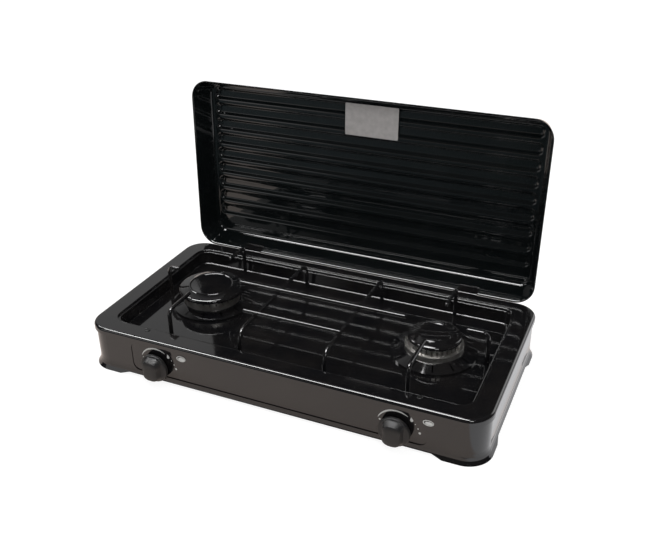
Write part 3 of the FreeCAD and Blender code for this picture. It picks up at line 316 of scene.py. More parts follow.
@dataclass(frozen=True)
class Print(Moulded):
    """Ink or foil laid on the enamel, which is faded and crinkled."""

    wear: Blotches = Blotches(160.0, 5.0, 0.3, 0.8)
    wear_haze: float = 0.12
    texture_scale: float = 330.0
    texture_detail: float = 3.0
    texture_depth: float = 0.04 * MM
    texture_strength: float = 0.3


class Finish(Enum):
    """The finishes of the stove."""

    ENAMEL = Enamel("black_enamel")
    # The lid's enamel is the casing's coat made darker and bluer: painted shade and a painted cool
    # reflection.
    SHADED_LID_ENAMEL = Enamel("lid_enamel_painted_shade", (0.004, 0.0056, 0.006), (0.009, 0.0105, 0.011),
                        wave_scale=60.0)
    WIRE = Enamel("wire_enamel", roughness=0.1, haze=0.1, wave_scale=420.0, wave_depth=0.12 * MM)
    CROWN = BareMetal("crown_metal", (0.5, 0.49, 0.47), (0.24, 0.22, 0.2), Grain.TURNED, 0.24,
                      metallic=0.93)
    CASTING = BareMetal("cast_metal", (0.5, 0.5, 0.5), (0.33, 0.32, 0.31), Grain.CAST, 0.42,
                        1500.0, 0.12 * MM)
    BRASS = BareMetal("brass", (0.62, 0.45, 0.2), (0.36, 0.25, 0.12), Grain.TURNED, 0.24)
    STEEL = BareMetal("steel", (0.5, 0.5, 0.5), (0.3, 0.29, 0.28), Grain.DRAWN, 0.26)
    KNOB = Moulded("knob_plastic", (0.012, 0.012, 0.013), (0.022, 0.021, 0.02), 0.42)
    RUBBER = Moulded("buffer_rubber", (0.01, 0.01, 0.01), (0.02, 0.02, 0.02), 0.25)
    INK = Print("dial_ink", (0.66, 0.66, 0.64), (0.5, 0.5, 0.48), 0.35)
    FOIL = Print("bare_foil", (0.56, 0.53, 0.52), (0.45, 0.43, 0.42), 0.42, 0.15)


class Paint:
    """Makes each finish once and lays it on pieces."""

    def __init__(self) -> None:
        """Starts with no material made."""
        self.made: dict[Finish, bpy.types.Material] = {}

    def lay(self, piece: bpy.types.Object, finish: Finish) -> None:
        """Gives a piece one finish all over."""
        if finish not in self.made:
            self.made[finish] = finish.value.make()
        if piece.material_slots:
            for slot in piece.material_slots:
                slot.material = self.made[finish]
        else:
            piece.data.materials.append(self.made[finish])
        LOG.info("%s wears %s", piece.name, finish.value.name)

    def lay_nodes(self, names: Iterable[str], finish: Finish) -> None:
        """Gives solids of the frame one finish."""
        for name in names:
            self.lay(frame["nodes"][name], finish)


def new_object(name: str, data: bpy.types.ID) -> bpy.types.Object:
    """A new object in the scene."""
    thing = bpy.data.objects.new(name, data)
    bpy.context.scene.collection.objects.link(thing)
    return thing


def add_piece(name: str, points: Sequence[Sequence[float]], faces: Sequence[Sequence[int]],
              smooth: bool = False) -> bpy.types.Object:
    """Adds a mesh piece to the scene.

    Args:
        name: the name of the piece.
        points: its points in metres.
        faces: the places of the points of each face.
        smooth: whether its faces are shaded smooth, with edges over 40 degrees sharp.

    Returns:
        The piece.
    """
    mesh = bpy.data.meshes.new(name)
    mesh.from_pydata([tuple(point) for point in points], [], [tuple(face) for face in faces])
    form = bmesh.new()
    form.from_mesh(mesh)
    bmesh.ops.recalc_face_normals(form, faces=form.faces)
    form.to_mesh(mesh)
    form.free()
    if smooth:
        mesh.shade_smooth()
        mesh.set_sharp_from_angle(angle=SHARP_ANGLE)
    return new_object(name, mesh)


def add_sheet(name: str, low: Point, high: Point, height: float) -> bpy.types.Object:
    """Adds a flat rectangle between two corners, at a height."""
    corners = [(low[0], low[1], height), (high[0], low[1], height),
               (high[0], high[1], height), (low[0], high[1], height)]
    return add_piece(name, corners, [[0, 1, 2, 3]])


def turns(count: int, shift: float = 0.0) -> list[float]:
    """Angles all the way round, evenly spaced, in radians."""
    return [2 * math.pi * (index + shift) / count for index in range(count)]


def band(first: Sequence[int], second: Sequence[int]) -> list[list[int]]:
    """The faces between two closed lines of points of equal count."""
    faces = []
    for index, place in enumerate(first):
        following = (index + 1) % len(first)
        faces.append([place, first[following], second[following], second[index]])
    return faces


def skin(rings: Sequence[Sequence[Vector]],
         looped: bool = False) -> tuple[list[Vector], list[list[int]]]:
    """Points and faces of a closed form through rings of equal count.

    Args:
        rings: the points of each ring in order.
        looped: whether the last ring joins the first. Otherwise each end has a face.

    Returns:
        The points, and the places of the points of each face.
    """
    count = len(rings[0])
    points = [point for ring in rings for point in ring]
    places = [list(range(start, start + count)) for start in range(0, len(points), count)]
    ends = [] if looped else [places[0], places[-1]]
    if looped:
        places.append(places[0])
    faces = [face for pair in zip(places, places[1:]) for face in band(*pair)]
    return points, faces + ends


def side_names(stem: str) -> tuple[str, str]:
    """The left and right node of a pair."""
    return stem + "_left", stem + "_right"


@dataclass
class Casing:
    """The enamelled casing with its buffers and the gas train under it."""

    paint: Paint
    half_width: float = 250.0 * MM
    half_depth: float = 128.0 * MM
    rim_height: float = 58.0 * MM
    rim_side: float = 26.4 * MM
    rim_front: float = 25.4 * MM
    rim_back: float = 23.4 * MM
    fold_corner: float = 14.6 * MM
    fold_drop: float = 3.05 * MM
    fold_radius: float = 0.95 * MM
    fold_sides: int = 12
    corner_steps: int = 12

    def dress(self) -> None:
        """Gives the casing and everything below it their finishes."""
        self.add_fold()
        self.paint.lay_nodes(["hob_body"], Finish.ENAMEL)
        self.paint.lay_nodes(["lid_buffers"], Finish.RUBBER)
        self.paint.lay_nodes(["gas_rail", "rail_clamps", "rail_clamp_screws", "rail_brackets",
                              "support_nuts"], Finish.STEEL)
        self.paint.lay_nodes(["rail_bracket_rivets"], Finish.ENAMEL)
        self.paint.lay_nodes(["inlet_block", "hose_nozzle"], Finish.BRASS)
        self.paint.lay_nodes(side_names("mixing_tube"), Finish.CASTING)
        for stem in ("injector", "tap_body", "tap_bonnet", "tap_plug", "tap_spindle"):
            self.paint.lay_nodes(side_names(stem), Finish.BRASS)
        for side in SIDES:
            self.add_spring(side)

    def add_spring(self, side: str) -> None:
        """Adds the return spring of a tap as a copy of its solid; the share of its length kept when
        the knob is pushed is worked out but not used.
        """
        node = frame["nodes"]["tap_spring_" + side]
        low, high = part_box("tap_spring_" + side)
        push = next(joint for joint in frame["joints"] if joint["name"] == "knob_push_" + side)
        mesh = node.data.copy()
        mesh.transform(node.matrix_world)
        spring = new_object("spring_coil_" + side, mesh)
        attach(spring, "hob")
        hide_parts("tap_spring_" + side)
        self.paint.lay(spring, Finish.STEEL)
        kept = 1.0 - push["range_m"][1] / (high.y - low.y)
        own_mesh(spring)

    def add_fold(self) -> None:
        """Adds the rounded fold where the ledge of the tray turns down into it."""
        low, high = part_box("hob_body")
        middle = (low + high) / 2
        left = middle.x - self.half_width + self.rim_side
        right = middle.x + self.half_width - self.rim_side
        front = middle.y - self.half_depth + self.rim_front
        back = middle.y + self.half_depth - self.rim_back
        corners = ((right, back, 0), (left, back, 90), (left, front, 180), (right, front, 270))
        rings = []
        for corner_x, corner_y, start in corners:
            centre = Vector((corner_x + math.copysign(self.fold_corner, middle.x - corner_x),
                             corner_y + math.copysign(self.fold_corner, middle.y - corner_y),
                             self.rim_height - self.fold_drop))
            for step in range(self.corner_steps + 1):
                angle = math.radians(start + 90 * step / self.corner_steps)
                rings.append(self.fold_ring(centre, angle))
        fold = add_piece("tray_fold", *skin(rings, True), True)
        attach(fold, "hob")
        self.paint.lay(fold, Finish.ENAMEL)

    def fold_ring(self, centre: Vector, angle: float) -> list[Vector]:
        """The section of the fold, at an angle about the centre of its corner."""
        ring = []
        for turn in turns(self.fold_sides):
            reach = self.fold_corner + self.fold_radius * math.cos(turn)
            ring.append(centre + Vector((reach * math.cos(angle), reach * math.sin(angle),
                                         self.fold_radius * math.sin(turn))))
        return ring


# The section of a burner cap in millimetres: how far each point lies out from the radius of its
# disc, of its edge or of the crown under it, and how far over its top.
CAP_DISC = ((-1.2, -0.8), (-0.7, -0.68), (-0.2, -0.2), (0.3, 0.0), (1.0, -0.02), (1.7, -0.4),
            (2.6, -0.9))
CAP_EDGE = ((-4.0, -2.3), (-2.2, -2.8), (-1.1, -3.5), (-0.35, -4.4), (0.0, -5.6), (-0.05, -6.8),
            (-0.3, -7.2))
CAP_SEAT = ((0.6, -7.1), (0.5, -4.9), (-1.5, -4.8))


@dataclass(frozen=True)
class CapShape:
    """The radii of one burner cap: its edge, its raised disc and the crown under it."""

    edge: float
    disc: float
    crown: float

    def section(self) -> list[Point]:
        """The section from the dish round to the seat, as radius and height over the top."""
        parts = ((self.disc, CAP_DISC), (self.edge, CAP_EDGE), (self.crown, CAP_SEAT))
        return [(radius + out * MM, rise * MM) for radius, steps in parts for out, rise in steps]


@dataclass
class Burners:
    """The burners: skirts, crowns, pressed caps and their screws."""

    paint: Paint
    left: CapShape = CapShape(42.3 * MM, 27.5 * MM, 36.5 * MM)
    right: CapShape = CapShape(32.2 * MM, 19.2 * MM, 31.0 * MM)
    count: int = 96

    def dress(self) -> None:
        """Gives the burners their finishes and adds their caps."""
        self.paint.lay_nodes(side_names("burner_skirt"), Finish.ENAMEL)
        self.paint.lay_nodes(side_names("burner_crown"), Finish.CROWN)
        self.paint.lay_nodes(["throat_screws"], Finish.STEEL)
        self.add_cap("left", self.left)
        self.add_cap("right", self.right)

    def add_cap(self, side: str, shape: CapShape) -> None:
        """Adds a cap in place of the plain solid."""
        low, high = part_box("burner_cap_" + side)
        top = Vector(((low.x + high.x) / 2, (low.y + high.y) / 2, high.z))
        rings = []
        for radius, height in shape.section():
            rings.append([top + Vector((radius * math.cos(angle), radius * math.sin(angle), height))
                          for angle in turns(self.count)])
        cap = add_piece("cap_pressing_" + side, *skin(rings), True)
        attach(cap, "burner_cap_" + side)
        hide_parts("burner_cap_" + side)
        self.paint.lay(cap, Finish.ENAMEL)


@dataclass
class PanSupport:
    """The wires that a pan stands on."""

    paint: Paint

    def dress(self) -> None:
        """Gives the wires their finish."""
        self.paint.lay_nodes(["support_long_wire_rear", "support_long_wire_front"], Finish.WIRE)
        self.paint.lay_nodes(side_names("support_cross_wire"), Finish.WIRE)
        self.paint.lay_nodes(side_names("support_prongs"), Finish.WIRE)


@dataclass(frozen=True)
class LidWall:
    """The section of one drafted wall of the lid."""

    draft: float
    fillet: float
    flare: float = 0.0
    straight_parts: tuple[float, ...] = (0.07, 0.35, 0.7)
    fillet_steps: int = 8

    def section(self, depth: float) -> list[Point]:
        """The outside of the wall from its lip up to the panel, as inset and height.

        Args:
            depth: the height of the panel over the lip.

        Returns:
            As many points for every wall, whatever its draft.
        """
        angle = math.radians(self.draft)
        reach = self.fillet * math.tan((math.pi / 2 - angle) / 2)
        middle = depth * math.tan(angle) + reach
        straight = depth - reach * math.cos(angle)
        points = [(-self.flare, 0.0)]
        points += [(straight * part * math.tan(angle), straight * part)
                   for part in self.straight_parts]
        for step in range(self.fillet_steps + 1):
            turn = angle + (math.pi / 2 - angle) * step / self.fillet_steps
            points.append((middle - self.fillet * math.cos(turn),
                           depth - self.fillet + self.fillet * math.sin(turn)))
        return points


@dataclass
class Lid:
    """The drawn lid with its pressed ribs, its hinges and the bare foil label inside it.

    Places on the lid are those of the shut lid, across it, along it from the hinge axis to the
    front, and up from that axis.
    """

    paint: Paint
    half_width: float = 241.0 * MM
    rear: float = 0.2 * MM
    front: float = 236.8 * MM
    lip_height: float = 2.3 * MM
    depth: float = 36.0 * MM
    corner: float = 25.0 * MM
    sheet: float = 1.0 * MM
    panel_inset: float = 14.5 * MM
    side_wall: LidWall = LidWall(14.5, 6.0 * MM)
    front_wall: LidWall = LidWall(15.5, 6.0 * MM)
    rear_wall: LidWall = LidWall(11.5, 6.0 * MM, 1.1 * MM)
    rib_count: int = 9
    rib_first: float = 42.1 * MM
    rib_pitch: float = 21.25 * MM
    rib_width: float = 18.2 * MM
    rib_height: float = 3.0 * MM
    rib_slope: float = 5.0 * MM
    rib_round: float = 8.0 * MM
    rib_end: float = 226.2 * MM
    edge_lines: tuple[float, ...] = (0.0, 0.3, 1.0, 1.7, 2.4, 3.1, 3.8, 4.6, 5.4, 6.4, 7.6, 9.0,
                                     11.0, 14.0, 22.0, 36.0)
    rear_lines: tuple[float, ...] = (0.0, 0.7, 1.6, 2.8, 4.2, 5.8, 7.6, 10.5, 14.5, 18.0)
    rib_lines: tuple[float, ...] = (0.0, 2.2, 4.1, 4.8, 5.5, 6.2, 6.9, 7.6, 8.3, 9.1)
    last_line_gap: float = 0.4 * MM
    inner_parts: int = 8
    label_middle: Point = (5.5 * MM, 199.0 * MM)
    label_half: Point = (36.5 * MM, 21.0 * MM)
    label_lift: float = 0.15 * MM
    label_round: float = 1.5 * MM
    label_points: int = 32

    @property
    def middle(self) -> float:
        """The middle of the lid, along it."""
        return (self.rear + self.front) / 2

    @property
    def panel_round(self) -> float:
        """The radius of the panel's corners."""
        return self.corner - self.panel_inset

    @property
    def panel_half(self) -> Point:
        """Half the width of the panel and half its length."""
        return (self.half_width - self.panel_inset,
                (self.front - self.rear) / 2 - self.panel_inset)

    def dress(self) -> None:
        """Adds the lid and its label and gives the hinges their finishes."""
        self.add_shell()
        self.add_label()
        self.paint.lay_nodes(["hinge_pins", "hinge_rivets_body", "hinge_rivets_lid"], Finish.ENAMEL)
        self.paint.lay_nodes(side_names("hinge_leaf_lid"), Finish.ENAMEL)
        self.paint.lay_nodes(side_names("hinge_leaf_body"), Finish.ENAMEL)

    def opened(self) -> Matrix:
        """The move that takes a point from beside the hinge of the shut lid to the open lid."""
        joint = next(joint for joint in frame["joints"] if joint["name"] == "lid_hinge")
        turn = Matrix.Rotation(-math.radians(joint["range_deg"][1]), 4, "X")
        return Matrix.Translation(joint["pos_m"]) @ turn

    def rib_lift(self, across: float, along: float, inset: float) -> float:
        """How far the ribs lift a point of the panel that lies inset from its edge."""
        nearest = round((along - self.rib_first) / self.rib_pitch)
        index = min(max(nearest, 0), self.rib_count - 1)
        off_rib = abs(along - self.rib_first - index * self.rib_pitch)
        side = abs(across) - (self.rib_end - self.rib_round)
        end = off_rib - (self.rib_width / 2 - self.rib_round)
        beyond = math.hypot(max(side, 0.0), max(end, 0.0)) + min(max(side, end), 0.0)
        part = min(max(min(self.rib_round - beyond, inset) / self.rib_slope, 0.0), 1.0)
        return self.rib_height * part * part * (3 - 2 * part)

    def lines_across(self) -> list[float]:
        """The lines of the panel's grid, close together where the ribs end."""
        right = [self.panel_half[0] - step * MM for step in self.edge_lines]
        parts = range(1 - self.inner_parts, self.inner_parts)
        inner = [right[-1] * (part / self.inner_parts) for part in parts]
        return [-place for place in right] + inner + right[::-1]

    def lines_along(self) -> list[float]:
        """The lines of the panel's grid the other way, close together on the flanks of the ribs."""
        near = self.rear + self.panel_inset
        far = self.front - self.panel_inset
        lines = [near + step * MM for step in self.rear_lines]
        for index in range(self.rib_count):
            middle = self.rib_first + index * self.rib_pitch
            lines += [middle - offset * MM for offset in self.rib_lines[:0:-1]]
            lines += [middle + offset * MM for offset in self.rib_lines]
            lines.append(middle + self.rib_pitch / 2)
        return sorted(line for line in lines if near <= line < far - self.last_line_gap) + [far]

    def bend(self, across: float, along: float) -> tuple[float, float, float, float]:
        """Draws a point of a plain grid into the round corners of the panel.

        Args:
            across: the place across the lid.
            along: the place along it, from its middle.

        Returns:
            The new place, and how far it lies towards the panel's edge both ways, from 0 to 1.
        """
        radius = self.panel_round
        straight_x, straight_y = (half - radius for half in self.panel_half)
        out_x = max(abs(across) - straight_x, 0.0) / radius
        out_y = max(abs(along) - straight_y, 0.0) / radius
        turn_x = out_x * math.sqrt(1 - out_y * out_y / 2)
        turn_y = out_y * math.sqrt(1 - out_x * out_x / 2)
        return (math.copysign(min(abs(across), straight_x) + radius * turn_x, across),
                math.copysign(min(abs(along), straight_y) + radius * turn_y, along),
                math.copysign(turn_x, across), math.copysign(turn_y, along))

    def panel_point(self, x: float, y: float, turn_x: float, turn_y: float) -> Vector:
        """A bent point of the grid on the panel, lifted where it lies on a rib."""
        half_x, half_y = self.panel_half
        inset = min(half_x - abs(x), half_y - abs(y))
        if turn_x and turn_y:
            inset = self.panel_round * (1 - math.hypot(turn_x, turn_y))
        return Vector((x, y + self.middle,
                       self.depth + self.rib_lift(x, y + self.middle, inset)))

    def add_walls(self, bent: Sequence[Sequence[float]], border: Sequence[int],
                  points: list[Vector], faces: list[list[int]]) -> None:
        """Adds the walls to the points and faces so far, from the panel down to the lip.

        Args:
            bent: the bent places of the grid's points.
            border: the grid's outer points, all the way round.
            points: the points so far.
            faces: the faces so far.
        """
        walls = (self.side_wall, self.front_wall, self.rear_wall)
        ring = border
        for side, front, rear in zip(*(wall.section(self.depth)[::-1] for wall in walls)):
            following = range(len(points), len(points) + len(border))
            for place in border:
                x, y, turn_x, turn_y = bent[place]
                inset, height = front if turn_y > 0 else rear
                share = turn_x * turn_x
                points.append(Vector((x + turn_x * (self.panel_inset - side[0]),
                                      y + turn_y * (self.panel_inset - inset) + self.middle,
                                      share * side[1] + (1 - share) * height)))
            faces += band(ring, following)
            ring = following

    def add_shell(self) -> None:
        """Adds the lid in place of the plain solid."""
        columns, rows = self.lines_across(), self.lines_along()
        bent = [self.bend(across, along - self.middle) for along in rows for across in columns]
        points = [self.panel_point(*spot) for spot in bent]
        wide = len(columns)
        faces = []
        for row in range(len(rows) - 1):
            for column in range(wide - 1):
                here = row * wide + column
                faces.append([here, here + wide, here + wide + 1, here + 1])
        border = list(range(wide))
        border += [row * wide + wide - 1 for row in range(1, len(rows))]
        border += list(range(len(rows) * wide - 2, (len(rows) - 1) * wide - 1, -1))
        border += [row * wide for row in range(len(rows) - 2, 0, -1)]
        self.add_walls(bent, border, points, faces)
        move = self.opened()
        places = [move @ Vector((x, -y, z + self.lip_height)) for x, y, z in points]
        shell = add_piece("lid_shell", places, faces, True)
        if shell.data.polygons[0].normal.y < 0:
            shell.data.flip_normals()
        sheet = shell.modifiers.new("sheet", "SOLIDIFY")
        sheet.thickness = self.sheet
        sheet.offset = -1.0
        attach(shell, "lid")
        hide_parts("lid")
        # The lid wears the darker, bluer copy of the enamel, which paints shade and a cool
        # reflection into its colour.
        self.paint.lay(shell, Finish.SHADED_LID_ENAMEL)

    def add_label(self) -> None:
        """Adds the foil label, which is left bare."""
        level = self.lip_height + self.depth - self.sheet
        half_x, half_y = (half - self.label_round for half in self.label_half)
        outline = []
        for angle in turns(self.label_points, 0.5):
            x, y = math.cos(angle), math.sin(angle)
            outline.append((self.label_middle[0] + math.copysign(half_x, x) + self.label_round * x,
                            self.label_middle[1] + math.copysign(half_y, y) + self.label_round * y))
        move = self.opened()
        rings = [[move @ Vector((x, -y, level - lift)) for x, y in outline]
                 for lift in (0.0, self.label_lift)]
        label = add_piece("foil_label", *skin(rings))
        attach(label, "lid")
        self.paint.lay(label, Finish.FOIL)


@dataclass
class Knob:
    """One moulded knob: a round skirt with a waisted grip across it."""

    paint: Paint
    side: str
    skirt: float = 4.6 * MM
    edge: float = 1.3 * MM
    edge_steps: int = 5
    back_edge: float = 0.3 * MM
    grip_width: float = 27.0 * MM
    grip_height: float = 30.0 * MM
    grip_taper: float = 1.7 * MM
    grip_round: float = 2.2 * MM
    side_power: float = 0.75
    end_power: float = 0.82
    waist: float = 2.4 * MM
    grip_margin: float = 1.56 * MM
    foot_spread: float = 1.4 * MM
    foot_rise: float = 1.6 * MM
    flank_steps: int = 4
    shoulder_steps: int = 6
    face_steps: tuple[Point, ...] = ((5.0, 0.6), (7.5, 0.9), (9.5, 1.0))
    crown: float = 0.5 * MM
    count: int = 96
    centre: Vector = field(init=False)
    radius: float = field(init=False)
    face_y: float = field(init=False)
    back_y: float = field(init=False)

    def dress(self) -> None:
        """Adds the knob in place of the plain solid."""
        low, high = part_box("knob_" + self.side)
        self.centre = Vector(((low.x + high.x) / 2, 0.0, (low.z + high.z) / 2))
        self.radius = (high.x - low.x) / 2
        self.face_y = low.y
        self.back_y = high.y
        rings = self.skirt_rings() + self.grip_rings()
        knob = add_piece("knob_body_" + self.side, *skin(rings), True)
        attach(knob, "knob_" + self.side)
        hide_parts("knob_" + self.side)
        self.paint.lay(knob, Finish.KNOB)

    def round_ring(self, radius: float, y: float) -> list[Vector]:
        """A circle about the knob's axis."""
        return [self.centre + Vector((radius * math.cos(angle), y, radius * math.sin(angle)))
                for angle in turns(self.count)]

    def grip_ring(self, inset: float, y: float, spread: float = 0.0) -> list[Vector]:
        """The outline of the grip, drawn in by an inset and at its foot spread out."""
        half_width = self.grip_width / 2 - inset
        half_height = self.grip_height / 2 - inset
        limit = self.radius - self.grip_margin
        ring = []
        for angle in turns(self.count):
            cosine = math.cos(angle)
            sine = math.sin(angle)
            pinch = self.waist * math.cos(sine * math.pi / 2) ** 4 * abs(cosine)
            across = math.copysign(half_width * abs(cosine) ** self.side_power - pinch, cosine)
            up = math.copysign(half_height * abs(sine) ** self.end_power, sine)
            reach = math.hypot(across, up)
            scale = min((reach + spread) / reach, limit / reach)
            ring.append(self.centre + Vector((across * scale, y, up * scale)))
        return ring

    def skirt_rings(self) -> list[list[Vector]]:
        """The rings of the skirt from its back to where the grip rises."""
        front = self.back_y - self.skirt
        rings = [self.round_ring(self.radius - self.back_edge, self.back_y),
                 self.round_ring(self.radius, self.back_y - self.back_edge)]
        for step in range(self.edge_steps + 1):
            angle = math.radians(90 * step / self.edge_steps)
            radius = self.radius - self.edge * (1 - math.cos(angle))
            rings.append(self.round_ring(radius, front + self.edge * (1 - math.sin(angle))))
        return rings

    def grip_rings(self) -> list[list[Vector]]:
        """The rings of the grip from its foot to the middle of its face."""
        front = self.back_y - self.skirt
        foot = front - self.foot_rise
        shoulder = self.face_y + self.grip_round
        rings = []
        for step in range(self.flank_steps + 1):
            part = step / self.flank_steps
            spread = self.foot_spread * (1 - math.sin(part * math.pi / 2))
            rings.append(self.grip_ring(0.0, front - self.foot_rise * part, spread))
        for step in range(1, self.flank_steps):
            part = step / self.flank_steps
            rings.append(self.grip_ring(self.grip_taper * part, foot + (shoulder - foot) * part))
        for step in range(self.shoulder_steps + 1):
            angle = math.radians(90 * step / self.shoulder_steps)
            inset = self.grip_taper + self.grip_round * (1 - math.cos(angle))
            rise = (self.grip_round - self.crown) * math.sin(angle)
            rings.append(self.grip_ring(inset, shoulder - rise))
        for inset, rise in self.face_steps:
            rings.append(self.grip_ring(inset * MM, self.face_y + self.crown * (1 - rise)))
        return rings


@dataclass
class Dial:
    """The generic marks printed round one knob.

    Their places and sizes are in millimetres from the knob's axis, and their angles in degrees.
    """

    paint: Paint
    side: str
    panel_inset: float = 5.2 * MM
    thickness: float = 0.08 * MM
    sign_lift: float = 0.88 * MM
    off_dot: Oval = (-18.5, 6.6, 1.15, 1.15)
    dots: tuple[Oval, ...] = ((21.2, 11.4, 0.6, 0.6), (24.4, 6.4, 0.75, 0.75))
    low_dot: Oval = (26.5, 1.2, 1.35, 1.35)
    sign_outer: Oval = (35.4, 18.0, 6.1, 3.7)
    sign_inner: Oval = (35.4, 18.0, 5.2, 2.8)
    sign_middle: Oval = (36.0, 17.7, 4.4, 2.1)
    arc_radius: float = 22.6
    arc_start: float = 156.0
    arc_end: float = 56.0
    arc_half: float = 0.28
    arc_swell: float = 0.72
    arc_pace: float = 1.02
    arc_power: float = 0.8
    arc_steps: int = 40
    flame_middle: Point = (17.0, 15.4)
    flame_half_width: float = 1.75
    flame_narrowing: float = 0.55
    flame_lean: float = 0.9
    flame_rise: float = 3.6
    flame_foot: float = 2.0
    count: int = 40
    origin: Vector = field(init=False)

    def dress(self) -> None:
        """Adds the arc, the flame, the dots and the burner sign."""
        low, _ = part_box("hob_body")
        knob_low, knob_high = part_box("knob_" + self.side)
        middle_x = (knob_low.x + knob_high.x) / 2
        middle_z = (knob_low.z + knob_high.z) / 2
        self.origin = Vector((middle_x, low.y + self.panel_inset, middle_z))
        self.add_mark("arc", self.arc_outline())
        self.add_mark("off_dot", self.oval(self.off_dot))
        self.add_mark("flame", self.flame_outline())
        for letter, dot in zip("ab", self.dots):
            self.add_mark("dot_" + letter, self.oval(dot))
        self.add_mark("low_dot", self.oval(self.low_dot))
        self.add_band("sign_band", self.sign_outer, self.sign_inner)
        self.add_mark("sign_middle", self.oval(self.sign_middle), self.sign_lift)

    def oval(self, shape: Oval) -> list[Point]:
        """The outline of an oval, given by its middle and half its size."""
        x, z, half_x, half_z = shape
        return [(x + half_x * math.cos(angle), z + half_z * math.sin(angle))
                for angle in turns(self.count)]

    def arc_outline(self) -> list[Point]:
        """An arc that swells in its middle and ends at the flame."""
        outer = []
        inner = []
        for step in range(self.arc_steps + 1):
            part = step / self.arc_steps
            angle = math.radians(self.arc_start + (self.arc_end - self.arc_start) * part)
            swell = math.sin(math.pi * min(1.0, part * self.arc_pace)) ** self.arc_power
            half = self.arc_half + self.arc_swell * swell
            for edge, radius in ((outer, self.arc_radius + half), (inner, self.arc_radius - half)):
                edge.append((radius * math.cos(angle), radius * math.sin(angle)))
        return outer + inner[::-1]

    def flame_outline(self) -> list[Point]:
        """A drop with a bent tip."""
        points = []
        for angle in turns(self.count):
            height = math.sin(angle)
            tip = max(0.0, height)
            width = self.flame_half_width * math.cos(angle) * (1.0 - self.flame_narrowing * tip)
            reach = self.flame_rise if height > 0 else self.flame_foot
            points.append((self.flame_middle[0] + width - self.flame_lean * tip ** 2,
                           self.flame_middle[1] + height * reach))
        return points

    def to_space(self, point: Point, depth: float) -> Vector:
        """A place on the front wall, raised by a depth."""
        return self.origin + Vector((point[0] * MM, -depth, point[1] * MM))

    def add_mark(self, name: str, outline: Sequence[Point], top: float | None = None) -> None:
        """Adds one flat mark from its outline, as thick as the ink or up to its own height."""
        rings = [[self.to_space(point, depth) for point in outline]
                 for depth in (0.0, top or self.thickness)]
        self.settle(add_piece(f"dial_{name}_{self.side}", *skin(rings)))

    def add_band(self, name: str, outer: Oval, inner: Oval) -> None:
        """Adds a flat oval band between two ovals."""
        lift = self.sign_lift
        rings = [[self.to_space(point, depth) for point in self.oval(oval)]
                 for oval, depth in ((outer, 0.0), (outer, lift), (inner, lift), (inner, 0.0))]
        self.settle(add_piece(f"dial_{name}_{self.side}", *skin(rings, True)))

    def settle(self, mark: bpy.types.Object) -> None:
        """Makes a mark part of the casing."""
        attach(mark, "hob")
        self.paint.lay(mark, Finish.INK)


@dataclass(frozen=True)
class Softbox:
    """A soft area lamp that points at a place."""

    name: str
    place: tuple[float, float, float]
    target: tuple[float, float, float]
    size: tuple[float, float]
    power: float

    def build(self) -> None:
        """Adds the lamp."""
        data = bpy.data.lights.new(self.name, "AREA")
        data.shape = "RECTANGLE"
        data.size, data.size_y = self.size
        data.energy = self.power
        lamp = new_object(self.name, data)
        direction = Vector(self.target) - Vector(self.place)
        lamp.rotation_euler = direction.to_track_quat("-Z", "Y").to_euler()
        lamp.location = self.place


@dataclass(frozen=True)
class Pane:
    """A bright round patch of the room that reflections show."""

    heading: tuple[float, float, float]
    start: float
    end: float
    strength: float

    def glow(self, graph: Graph, heading: Value) -> Value:
        """The light of the patch in a direction."""
        nearness = graph.add("VectorMath", {"operation": "DOT_PRODUCT"},
                             {0: heading, 1: self.heading}, "Value")
        return self.strength * graph.ramp(nearness, ((self.start, 0.0), (self.end, 1.0)))


@dataclass(frozen=True)
class Strip:
    """A bright strip overhead that reflections show."""

    behind: float = -0.2
    breadth: Stops = ((0.012, 1.0), (0.017, 0.0))
    height: Stops = ((0.74, 0.0), (0.8, 1.0))
    length: Stops = ((0.19, 0.0), (0.22, 1.0), (0.54, 1.0), (0.56, 0.0))
    strength: float = 22.0

    def glow(self, graph: Graph, heading: Value) -> Value:
        """The light of the strip in a direction."""
        offset = graph.part(heading, "Y") - self.behind
        breadth = graph.ramp(offset * offset, self.breadth)
        height = graph.ramp(graph.part(heading, "Z"), self.height)
        length = graph.ramp(graph.part(heading) * 0.5 + 0.5, self.length)
        return self.strength * (height * breadth * length)


LAMPS = (
    Softbox("top_softbox", (-0.15, 0.1, 1.5), (0.0, 0.0, 0.0), (0.5, 0.4), 5.0),
    Softbox("left_softbox", (-1.15, 0.1, 1.05), (0.0, 0.0, 0.05), (0.3, 0.4), 3.5),
    Softbox("front_softbox", (0.75, -1.1, 1.15), (0.0, 0.0, 0.1), (0.34, 0.34), 3.5),
)
GLOWS = (
    Pane((-0.55, 0.69, 0.47), 0.8, 0.97, 0.38),
    Pane((0.37, 0.82, 0.44), 0.94, 0.97, 1.6),
    Pane((-0.6, -0.77, 0.21), 0.95, 0.975, 0.8),
    Strip(),
)


